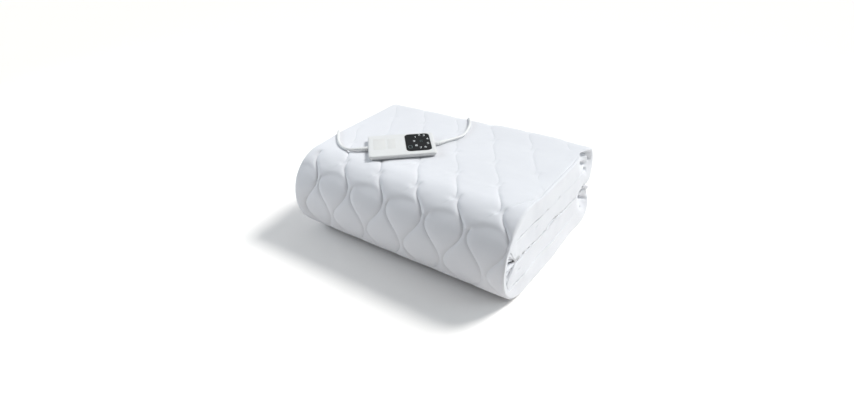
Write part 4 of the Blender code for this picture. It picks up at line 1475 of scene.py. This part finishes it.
    def build_stitches(self, finishes: Finishes) -> None:
        """Thread along every stitch line of the top, the front and the two backs."""
        margin, front_margin = self.stitch_margins
        runs = (self.stretch_rows(Leg.UPPER_BACK, Leg.FRONT)[margin:-front_margin],
                self.stretch_rows(Leg.LOWER_BACK)[margin:-margin])
        points, edges = [], []
        for number, column in enumerate(self.line_columns):
            for rows in runs:
                lift = mix(*self.stitch_lift, self.line_strength[rows - len(self.tip_turns), number])[:, None]
                line = self.grid.points[rows, column] + self.grid.normals[rows, column] * lift
                edges += [(step, step + 1) for step in range(len(points), len(points) + len(line) - 1)]
                points += line.tolist()
        wire = bpy.data.meshes.new("stitch lines")
        wire.from_pydata(points, edges, [])
        piece = run_tree(link_object("stitch lines", wire), stitch_tree(), {"Pitch": self.stitch_pitch},
                         "quilting_stitches", finishes.make(finishes.thread))
        hand_over(piece, Slot.CLOTH)

    def top_height(self, x: Any) -> Any:
        """Height of the stack's top face at x."""
        return mix(self.path.left.height, self.path.right.height, x / self.width + 0.5)


# ---------------------------------------------------------------- handset


@dataclass(frozen=True)
class RingMark:
    """Faint printed outline with round corners: its size, corner, line width and place on the panel."""

    name: str
    size: tuple[float, float]
    corner: float
    line: float
    centre: tuple[float, float]

    def loops(self, thickness: float) -> list[list[Vector]]:
        """Its outer outline upwards, then its inner outline downwards."""
        wide, deep = self.size
        outer = [rounded_loop(wide, deep, self.corner, z) for z in (0.0, thickness)]
        inner = [rounded_loop(wide - 2 * self.line, deep - 2 * self.line, self.corner - self.line / 2, z)
                 for z in (thickness, 0.0)]
        return [*outer, *inner]


@dataclass
class Handset:
    """White moulded handset with its black panel, lying turned on the blanket."""

    blanket: Blanket
    size: Vector = vector(0.129, 0.094, 0.0095)
    centre: Vector = vector(-0.068, -0.043)
    turn: float = math.radians(41)
    corner: float = 0.006
    least_corner: float = 0.002
    panel_size: Vector = vector(0.048, 0.076, 0.0022)
    panel_offset: Vector = vector(0.032, 0.003)
    panel_corner: float = 0.009
    panel_proud: float = 0.0004
    dial_centre: Vector = vector(0.0066, 0.0020)
    dial_reach: tuple[float, float] = (0.0135, 0.0300)
    dial_start: float = 137.0
    dial_step: float = 40.0
    digit_height: float = 0.0074
    capital_share: float = 0.72
    print_thickness: float = 0.00005
    print_lift: float = 0.00012
    marks: tuple[RingMark, ...] = (
        RingMark("centre_mark", (0.0042, 0.0080), 0.0014, 0.0005, (0.0066, 0.0020)),
        RingMark("power_mark", (0.0080, 0.0130), 0.0039, 0.0009, (-0.0162, -0.0205)))
    field_rows: tuple[tuple[float, float, float, float], ...] = (
        (-0.0425, 0.0057, 0.0235, 0.0490), (-0.0192, 0.0040, 0.0152, 0.0436))

    def place(self) -> Matrix:
        """Place of the handset's centre, resting on the crowns of the quilting."""
        reach = (self.size.x * math.cos(self.turn) + self.size.y * math.sin(self.turn)) / 2
        height = self.blanket.top_height(self.centre.x + reach) + CLEARANCE + self.size.z / 2
        return Matrix.Translation((*self.centre, height)) @ Matrix.Rotation(self.turn, 4, "Z")

    def build(self, finishes: Finishes) -> None:
        """Builds the housing, its fields, the panel and its print.

        Args:
            finishes: The object's finishes.
        """
        place = self.place()
        self.build_housing(finishes, place)
        self.build_panel(finishes, place)

    def build_housing(self, finishes: Finishes, place: Matrix) -> None:
        """Two half shells with a parting line and a pocket for the panel."""
        half = self.size.z / 2
        base = ((0.0056, 0.0), (0.0040, 0.0002), (0.0028, 0.0008), (0.0022, 0.0018))
        seam = ((0.0016, -0.0014), (0.0013, -0.0008), (0.0014, -0.0006), (0.0014, -0.0003),
                (0.0008, -0.0001), (0.0003, 0.0005), (0.0, 0.0014))
        lid = ((0.0, 0.0022), (0.0003, 0.0014), (0.0009, 0.0007), (0.0018, 0.0002),
               (0.0032, 0.0), (0.0045, 0.0))
        profile = [*((inset, z - half) for inset, z in base), *seam, *((inset, half - z) for inset, z in lid)]
        loops = [rounded_loop(self.size.x - 2 * inset, self.size.y - 2 * inset,
                              max(self.corner - inset * 0.5, self.least_corner), z) for inset, z in profile]
        shift = Vector((*self.panel_offset, 0))
        for grow, z in ((0.0010, half), (0.0004, half - 0.0001), (0.0003, half - 0.0022)):
            ring = rounded_loop(self.panel_size.x + 2 * grow, self.panel_size.y + 2 * grow,
                                self.panel_corner + grow, z)
            loops.append([point + shift for point in ring])
        mesh = mesh_from_loops("handset_shell", loops)
        mesh.transform(place)
        finishes.dress(mesh, finishes.housing, Slot.HANDSET, "handset_housing")
        for number, (x, y, wide, deep) in enumerate(self.field_rows, 1):
            rings = [rounded_loop(wide - 2 * inset, deep - 2 * inset, self.least_corner, half + z)
                     for inset, z in ((0.0, -0.0002), (0.0, 0.00006), (0.0002, 0.00012))]
            mesh = mesh_from_loops(f"handset_field_{number}", rings)
            mesh.transform(place @ Matrix.Translation((x, y, 0)))
            finishes.dress(mesh, finishes.fields, Slot.HANDSET)

    def build_panel(self, finishes: Finishes, place: Matrix) -> None:
        """Gloss panel with softened rim, and its numbers, centre mark and power mark."""
        top = self.size.z / 2 + self.panel_proud
        profile = ((0.0, -self.panel_size.z), (0.0, -0.0007), (0.0002, -0.0003), (0.0006, -0.0001),
                   (0.0012, 0.0), (0.0060, 0.00008))
        rings = [rounded_loop(self.panel_size.x - 2 * inset, self.panel_size.y - 2 * inset,
                              self.panel_corner - inset, top + z) for inset, z in profile]
        seat = place @ Matrix.Translation((*self.panel_offset, 0))
        mesh = mesh_from_loops("handset_display", rings)
        mesh.transform(seat)
        finishes.dress(mesh, finishes.panel, Slot.PANEL, "handset_panel")
        seat = seat @ Matrix.Translation((0, 0, top + self.print_lift))
        for number in range(9):
            angle = math.radians(self.dial_start - self.dial_step * number)
            x = self.dial_centre.x + self.dial_reach[0] * math.cos(angle)
            y = self.dial_centre.y + self.dial_reach[1] * math.sin(angle)
            self.build_digit(str(number + 1), seat @ Matrix.Translation((x, y, 0)), finishes)
        for mark in self.marks:
            mesh = mesh_from_loops(mark.name, mark.loops(self.print_thickness), joined=True)
            mesh.transform(seat @ Matrix.Translation((*mark.centre, 0)))
            finishes.dress(mesh, finishes.faint, Slot.PANEL)

    def build_digit(self, text: str, place: Matrix, finishes: Finishes) -> None:
        """One number of the dial as a thin printed mark."""
        curve = bpy.data.curves.new(f"digit {text}", "FONT")
        curve.body = text
        curve.size = self.digit_height / self.capital_share
        curve.align_x, curve.align_y = "CENTER", "CENTER"
        curve.extrude = self.print_thickness
        source = link_object(curve.name, curve)
        bpy.context.view_layer.update()
        piece = to_mesh_piece(source, f"panel_number_{text}", finishes.make(finishes.mark))
        piece.data.transform(place)
        hand_over(piece, Slot.PANEL)

    def seat_of(self, side: int) -> tuple[Vector, Vector]:
        """Point on the handset's end face and the direction out of it, for side 1 or -1."""
        place = self.place()
        outward = (place.to_3x3() @ Vector((side, 0, 0))).normalized()
        return place @ Vector((side * (self.size.x / 2 + CLEARANCE), 0, 0)), outward


# ---------------------------------------------------------------- leads


MAINS_ROUTE = (
    (-0.008, 0.024, 0.175), (-0.003, 0.037, 0.1742), (0.002, 0.05, 0.174), (0.0045, 0.064, 0.1739),
    (0.002, 0.08, 0.1739), (-0.004, 0.099, 0.1739), (-0.0115, 0.117, 0.1738), (-0.021, 0.133, 0.1736),
    (-0.032, 0.148, 0.1712), (-0.0415, 0.1616, 0.163), (-0.049, 0.1718, 0.1507), (-0.054, 0.1771, 0.135),
    (-0.057, 0.1785, 0.118), (-0.059, 0.1788, 0.098), (-0.0602, 0.1808, 0.079), (-0.0612, 0.1888, 0.064),
    (-0.0618, 0.194, 0.048), (-0.062, 0.1958, 0.032), (-0.0616, 0.2005, 0.017), (-0.0606, 0.2115, 0.006),
    (-0.059, 0.226, 0.0031), (-0.0572, 0.241, 0.0031), (-0.0589, 0.256, 0.0031))
BLANKET_ROUTE = (
    (-0.135, -0.0995, 0.1752), (-0.15, -0.105, 0.1738), (-0.167, -0.1025, 0.173), (-0.1845, -0.093, 0.1727),
    (-0.2, -0.08, 0.1725), (-0.213, -0.066, 0.1726), (-0.225, -0.052, 0.172), (-0.237, -0.039, 0.1655),
    (-0.2435, -0.03, 0.15), (-0.245, -0.0235, 0.129), (-0.244, -0.0165, 0.102), (-0.243, -0.0085, 0.073),
    (-0.2445, 0.001, 0.046), (-0.25, 0.011, 0.0235), (-0.261, 0.024, 0.008), (-0.274, 0.04, 0.0031),
    (-0.287, 0.059, 0.0031), (-0.295, 0.078, 0.0031), (-0.2965, 0.098, 0.005), (-0.291, 0.115, 0.011),
    (-0.28, 0.1255, 0.0185), (-0.268, 0.131, 0.0258))
TAIL_ROUTE = (
    (-0.1383, 0.264, 0.0031), (-0.1392, 0.252, 0.0033), (-0.143, 0.243, 0.005), (-0.148, 0.2375, 0.0062))


@dataclass
class Coil:
    """Wound length of the mains lead: seven and a half turns beside and on each other, and a tie."""

    centre: Vector = vector(-0.098, 0.266)
    stations: tuple[tuple[float, float], ...] = (
        (0.0363, 0.00405), (0.0308, 0.00405), (0.0253, 0.00405), (0.0281, 0.0088), (0.0336, 0.0088),
        (0.0308, 0.0135), (0.0363, 0.0135), (0.0400, 0.0093))
    entry_sweep: float = 80.0
    first_crossing: float = 300.0
    crossing_step: float = 40.0
    crossing_half: float = 50.0
    steps_per_turn: int = 40
    tie_angle: float = math.radians(80)
    tie_inner: float = 0.0213
    tie_outer: float = 0.0440
    tie_low: float = 0.0010
    tie_top: float = 0.0166
    tie_corner: float = 0.0030
    tie_width: float = 0.008
    tie_thickness: float = 0.0008
    tie_crown: float = 1.3

    def polar(self, point: Vector) -> tuple[float, float]:
        """Radius and angle in degrees of a point about the coil's centre."""
        away = point.xy - self.centre
        return away.length, math.degrees(math.atan2(away.y, away.x))

    def points(self, entry: Vector, leave: Vector) -> list[Vector]:
        """Centreline of the turns, from the laid stretch's end to the tail's start.

        Args:
            entry: End of the laid stretch.
            leave: Start of the tail.

        Returns:
            The points between them.
        """
        entry_radius, entry_angle = self.polar(entry)
        leave_radius, leave_angle = self.polar(leave)
        whole = 360.0 * (len(self.stations) - 1)
        total = whole + (leave_angle - entry_angle) % 360
        count = round(total / 360 * self.steps_per_turn)
        points = []
        for number in range(1, count):
            swept = total * number / count
            radius, height = self.station(swept)
            start = ease(swept / self.entry_sweep)
            radius, height = mix(entry_radius, radius, start), mix(entry.z, height, start)
            end = ease((swept - whole) / (total - whole))
            radius, height = mix(radius, leave_radius, end), mix(height, leave.z, end)
            angle = math.radians(entry_angle + swept)
            points.append(Vector((self.centre.x + radius * math.cos(angle),
                                  self.centre.y + radius * math.sin(angle), height)))
        return points

    def station(self, swept: float) -> tuple[float, float]:
        """Radius and height of the turn at an angle, crossing over to the next turn's place."""
        turn = min(int(swept // 360), len(self.stations) - 1)
        following = min(turn + 1, len(self.stations) - 1)
        crossing = self.first_crossing - self.crossing_step * turn
        moved = ease((swept % 360 - crossing + self.crossing_half) / (2 * self.crossing_half))
        here, after = self.stations[turn], self.stations[following]
        return mix(here[0], after[0], moved), mix(here[1], after[1], moved)

    def build_tie(self, finishes: Finishes) -> bpy.types.Object:
        """Flat band with softened edges round all the turns at one place."""
        middle = Vector(((self.tie_inner + self.tie_outer) / 2, (self.tie_low + self.tie_top) / 2))
        corners = ((self.tie_outer, self.tie_low, -90), (self.tie_outer, self.tie_top, 0),
                   (self.tie_inner, self.tie_top, 90), (self.tie_inner, self.tie_low, 180))
        path = []
        for radius, height, start in corners:
            hub = Vector((radius - math.copysign(self.tie_corner, radius - middle.x),
                          height - math.copysign(self.tie_corner, height - middle.y)))
            for step in range(7):
                angle = math.radians(start + 90 * step / 6)
                path.append(hub + self.tie_corner * Vector((math.cos(angle), math.sin(angle))))
        across = Vector((-math.sin(self.tie_angle), math.cos(self.tie_angle), 0))
        along = Vector((math.cos(self.tie_angle), math.sin(self.tie_angle), 0))
        rings = []
        for side, lift in ((-1, 0), (-1, 1), (-0.9, self.tie_crown), (0.9, self.tie_crown), (1, 1), (1, 0)):
            ring = []
            for point in path:
                place = point + (point - middle).normalized() * self.tie_thickness * lift
                foot = Vector((*self.centre, place.y))
                ring.append(foot + along * place.x + across * side * self.tie_width / 2)
            rings.append(ring)
        mesh = mesh_from_loops("lead_tie", rings, joined=True)
        return finishes.dress(mesh, finishes.tie, Slot.TIE, "mains_lead_tie")


@dataclass
class Leads:
    """The two leads with their strain reliefs, the coil and the plug."""

    handset: Handset
    coil: Coil = field(default_factory=Coil)
    radius: float = 0.00275
    relief_radius: float = 0.0042
    plug_sleeve_radius: float = 0.0055
    sleeve_tip: float = 0.0034
    collar: float = 0.0025
    groove_pitch: float = 0.0042
    least_grooves: float = 4.0
    inlet_root: Vector = vector(-0.2278, 0.1345, 0.0360)
    inlet_radius: float = 0.0043
    plug_body: Vector = vector(0.036, 0.034, 0.0136)
    plug_centre: Vector = vector(-0.200, 0.2335)
    plug_turn: float = math.radians(184)
    plug_corner: float = 0.007
    waist_depth: float = 0.0022
    waist_x: float = -0.004
    waist_half: float = 0.008
    waist_reach: float = 0.006
    pin_radius: float = 0.002
    pin_length: float = 0.019
    pin_spacing: float = 0.0186
    pin_sheathed: float = 0.522

    def build(self, finishes: Finishes) -> None:
        """Builds both leads with what is on them.

        Args:
            finishes: The object's finishes.
        """
        lowest = self.radius + CLEARANCE
        laid, tail, feed = (smooth_curve(route, lowest) for route in (MAINS_ROUTE, TAIL_ROUTE, BLANKET_ROUTE))
        mains = [*laid, *self.coil.points(laid[-1], tail[0]), *tail]
        tree = ribbed_sleeve_tree()
        for name, side, line in (("mains_relief", 1, mains), ("blanket_relief", -1, feed)):
            self.build_sleeve(f"{name}_sleeve", name, self.handset.seat_of(side), line[:2],
                              self.relief_radius, tree, finishes)
        inlet = self.build_sleeve("hem_inlet", "blanket_inlet_sleeve", (self.inlet_root, Vector((-1, 0, 0))),
                                  feed[:-3:-1], self.inlet_radius, tree, finishes)
        plug = self.build_plug(tail, tree, finishes)
        tie = self.coil.build_tie(finishes)
        cord = self.build_cord("mains_cord", mains, finishes,
                               "mains_lead", "mains_lead_coil", "mains_lead_tail")
        LOG.info("mains lead %.3f m, blanket lead %.3f m", length_of(mains), length_of(feed))
        cord = self.build_cord("blanket_cord", feed, finishes, "blanket_lead")

    def build_cord(self, name: str, points: Sequence[Vector], finishes: Finishes,
                   *nodes: str) -> bpy.types.Object:
        """Round cord as one open spline with a bevel."""
        data = poly_curve(name, points)
        data.bevel_depth = self.radius
        data.bevel_resolution = 5
        data.use_fill_caps = True
        data.splines[0].use_smooth = True
        return finishes.dress(data, finishes.cord, Slot.CORD, *nodes)

    def build_sleeve(self, name: str, node: str, seat: tuple[Vector, Vector], line: Sequence[Vector],
                     root_radius: float, tree: bpy.types.NodeTree, finishes: Finishes) -> bpy.types.Object:
        """Ribbed tapering sleeve that bends from its seat to the end of a lead.

        Args:
            name: The piece's name.
            node: The solid it stands for.
            seat: Centre of its seat and the direction out of it.
            line: The lead's end point and the point next to it.
            root_radius: Radius at the seat.
            tree: The sleeve's geometry tree.
            finishes: The object's finishes.

        Returns:
            The sleeve.
        """
        root, outward = seat
        along = (line[0] - line[1]).normalized()
        tip = line[0] + along * CLEARANCE
        start, finish = root + outward * self.collar, tip + along * self.collar
        pull = (finish - start).length / 3
        bend = interpolate_bezier(start, start + outward * pull, finish + along * pull, finish, 20)
        points = [root, *bend, tip]
        grooves = max(self.least_grooves, round(length_of(points) / self.groove_pitch))
        piece = run_tree(link_object(name, poly_curve(name, points)), tree, {
            "Root Radius": root_radius, "Tip Radius": self.sleeve_tip, "Grooves": grooves},
            name, finishes.make(finishes.cord))
        return hand_over(piece, Slot.CORD, node)

    def build_plug(self, tail: Sequence[Vector], tree: bpy.types.NodeTree,
                   finishes: Finishes) -> list[bpy.types.Object]:
        """Flat two-pin plug on its side, with its sleeve and sheathed pins.

        Args:
            tail: Points of the lead's tail.
            tree: The sleeve's geometry tree.
            finishes: The object's finishes.

        Returns:
            The plug's pieces.
        """
        half = self.plug_body / 2
        place = Matrix.Translation((*self.plug_centre, half.z)) @ Matrix.Rotation(self.plug_turn, 4, "Z")
        rim = ((0.0040, 0.0), (0.0014, 0.0005), (0.0003, 0.0020), (0.0, 0.0040))
        seam = ((0.0, -0.0004), (0.0003, -0.0002), (0.0003, 0.0002), (0.0, 0.0004))
        profile = [*((inset, z - half.z) for inset, z in rim), *seam,
                   *((inset, half.z - z) for inset, z in reversed(rim))]
        loops = []
        for inset, z in profile:
            ring = rounded_loop(self.plug_body.x - 2 * inset, self.plug_body.y - 2 * inset,
                                self.plug_corner, z)
            for point in ring:
                if abs(point.y) > half.y - self.waist_reach:
                    waist = self.waist_depth * math.exp(-((point.x - self.waist_x) / self.waist_half) ** 2)
                    point.y -= math.copysign(waist, point.y)
            loops.append(ring)
        mesh = mesh_from_loops("plug_moulding", loops)
        mesh.transform(place)
        pieces = [finishes.dress(mesh, finishes.cord, Slot.CORD, "plug_body")]
        for node, side in (("plug_pin_near", 1), ("plug_pin_far", -1)):
            pieces.append(self.build_pin(node, side, place, finishes))
        backward = (place.to_3x3() @ Vector((-1, 0, 0))).normalized()
        seat = (place @ Vector((-half.x - CLEARANCE, 0, 0)), backward)
        pieces.append(self.build_sleeve("plug_relief", "plug_sleeve", seat, tail[:-3:-1],
                                        self.plug_sleeve_radius, tree, finishes))
        return pieces

    def build_pin(self, node: str, side: int, place: Matrix, finishes: Finishes) -> bpy.types.Object:
        """Round pin with a plastic sheath on its root half and a domed metal tip."""
        radius, length = self.pin_radius, self.pin_length
        outline = ((0.0, 0.6), (0.0, 1.0), (length * 0.52, 1.0), (length * 0.525, 0.96),
                   (length * 0.53, 0.93), (length - 0.0020, 0.93), (length - 0.0008, 0.75),
                   (length - 0.0002, 0.4), (length, 0.1))
        start = self.plug_body.x / 2 + CLEARANCE
        middle = side * self.pin_spacing / 2
        turns = [2 * math.pi * step / 24 for step in range(24)]
        around = [Vector((0, math.cos(turn), math.sin(turn))) * radius for turn in turns]
        loops = [[Vector((start + x, middle, 0)) + point * share for point in around] for x, share in outline]
        mesh = mesh_from_loops(f"{node}_round", loops)
        for look in (finishes.cord, finishes.metal):
            mesh.materials.append(finishes.make(look))
        for face in mesh.polygons:
            face.material_index = int(face.center.x > start + length * self.pin_sheathed)
        mesh.transform(place)
        return finishes.dress(mesh, finishes.cord, Slot.PIN, node)


# ---------------------------------------------------------------- studio


@dataclass(frozen=True)
class Lamp:
    """What every light has: its name, its strength and its colour."""

    name: str
    strength: float
    colour: Colour

    def add(self, kind: str, place: Vector, aim: Vector, **settings: float) -> None:
        """Adds a light of a kind at a place, turned along its aim, with more settings of its own."""
        data = bpy.data.lights.new(self.name, kind)
        data.energy, data.color = self.strength, self.colour
        for name, value in settings.items():
            setattr(data, name, value)
        light = link_object(self.name, data)
        light.location = place
        light.rotation_euler = aim.to_track_quat("-Z", "Y").to_euler()


@dataclass(frozen=True)
class Light(Lamp):
    """Soft light that is even over the whole floor.

    Its heading is counted from +Y towards +X. Spread, heading and height are in degrees.
    """

    spread: float
    heading: float
    height: float

    def build(self) -> None:
        """Adds the light."""
        heading, height = math.radians(self.heading), math.radians(self.height)
        source = Vector((math.sin(heading) * math.cos(height), math.cos(heading) * math.cos(height),
                         math.sin(height)))
        self.add("SUN", source, -source, angle=math.radians(self.spread))


@dataclass(frozen=True)
class Panel(Lamp):
    """Square soft box near the object, turned towards a point."""

    size: float
    place: tuple[float, float, float]
    target: tuple[float, float, float]

    def build(self) -> None:
        """Adds the soft box."""
        place = Vector(self.place)
        self.add("AREA", place, Vector(self.target) - place, size=self.size)


@dataclass
class Studio:
    """Pale floor, soft lights and the photograph's camera."""

    camera_place: tuple[float, float, float] = (0.5467, -0.8115, 0.6422)
    yaw: float = math.radians(36.03)
    pitch: float = math.radians(31.48)
    roll: float = math.radians(-1.98)
    lens: float = 23.59
    sensor: float = 36.0
    nearest: float = 0.01
    world_colour: Colour = (0.93, 0.96, 1.0)
    world_strength: float = 0.10
    backdrop: float = 1.1
    floor_reach: float = 8.0
    floor_speckle: float = 40.0
    floor: Finish = Finish("floor", (0.97, 0.938, 0.91), (0.955, 0.923, 0.896))
    lights: tuple[Light | Panel, ...] = (
        Light("key", 2.80, (0.985, 0.993, 0.988), spread=17, heading=38, height=48),
        Light("dome", 0.82, (0.98, 0.99, 1.0), spread=110, heading=10, height=68),
        Light("side", 0.60, (0.82, 0.92, 1.0), spread=30, heading=-100, height=26),
        Light("right fill", 0.06, (0.82, 0.92, 1.0), spread=60, heading=82, height=18),
        Panel("left box", 5.2, (0.82, 0.92, 1.0), size=0.5, place=(-1.15, -0.70, 0.75),
              target=(-0.10, -0.15, 0.08)),
        Panel("right box", 2.1, (0.72, 0.91, 1.0), size=0.5, place=(1.25, 0.15, 0.75),
              target=(0.10, 0.0, 0.10)))

    def build_camera(self) -> None:
        """Sets the camera at the photograph's viewing angle."""
        data = bpy.data.cameras.new("camera")
        data.lens = self.lens
        data.sensor_width = self.sensor
        data.sensor_fit = "HORIZONTAL"
        data.clip_start = self.nearest
        camera = link_object("camera", data)
        camera.matrix_world = (Matrix.Translation(self.camera_place) @ Matrix.Rotation(self.yaw, 4, "Z")
                               @ Matrix.Rotation(math.pi / 2 - self.pitch, 4, "X")
                               @ Matrix.Rotation(self.roll, 4, "Z"))
        bpy.context.scene.camera = camera

    def build_floor(self) -> None:
        """Plain pale floor, a little warm against the cool fill lights."""
        mesh = bpy.data.meshes.new("floor")
        reach = self.floor_reach
        mesh.from_pydata([(-reach, -reach, 0), (reach, -reach, 0), (reach, reach, 0), (-reach, reach, 0)], [],
                         [(0, 1, 2, 3)])
        material, graph, shader = blank_material(self.floor.name)
        where = graph.add("ShaderNodeTexCoord").outputs["Object"]
        speckle = graph.add("ShaderNodeTexNoise", {"Vector": where, "Scale": self.floor_speckle})
        graph.feed(shader, {"Base Color": self.floor.paint(graph, speckle.outputs["Fac"]),
                            "Roughness": 1.0, "Specular IOR Level": 0.0})
        add_piece("floor", mesh, material)

    def build(self) -> None:
        """Builds the floor, the lights and the world."""
        self.build_floor()
        for look in self.lights:
            look.build()
        world = bpy.data.worlds.new("studio")
        world.use_nodes = True
        graph = Graph(world.node_tree)
        seen = graph.add("ShaderNodeLightPath").outputs["Is Camera Ray"]
        strength = graph.math("MULTIPLY_ADD", seen, self.backdrop - self.world_strength, self.world_strength)
        background = world.node_tree.nodes["Background"]
        graph.feed(background, {"Color": (*self.world_colour, 1), "Strength": strength})
        bpy.context.scene.world = world
        bpy.context.scene.view_settings.view_transform = "Standard"


def main() -> None:
    """Builds the studio and every piece in order."""
    logging.basicConfig(level=logging.INFO, format="%(name)s: %(message)s")
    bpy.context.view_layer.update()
    studio = Studio()
    studio.build_camera()
    finishes = Finishes()
    blanket = Blanket()
    handset = Handset(blanket)
    Leads(handset).build(finishes)
    blanket.build(finishes)
    handset.build(finishes)
    studio.build()


if __name__ == "__main__":
    main()
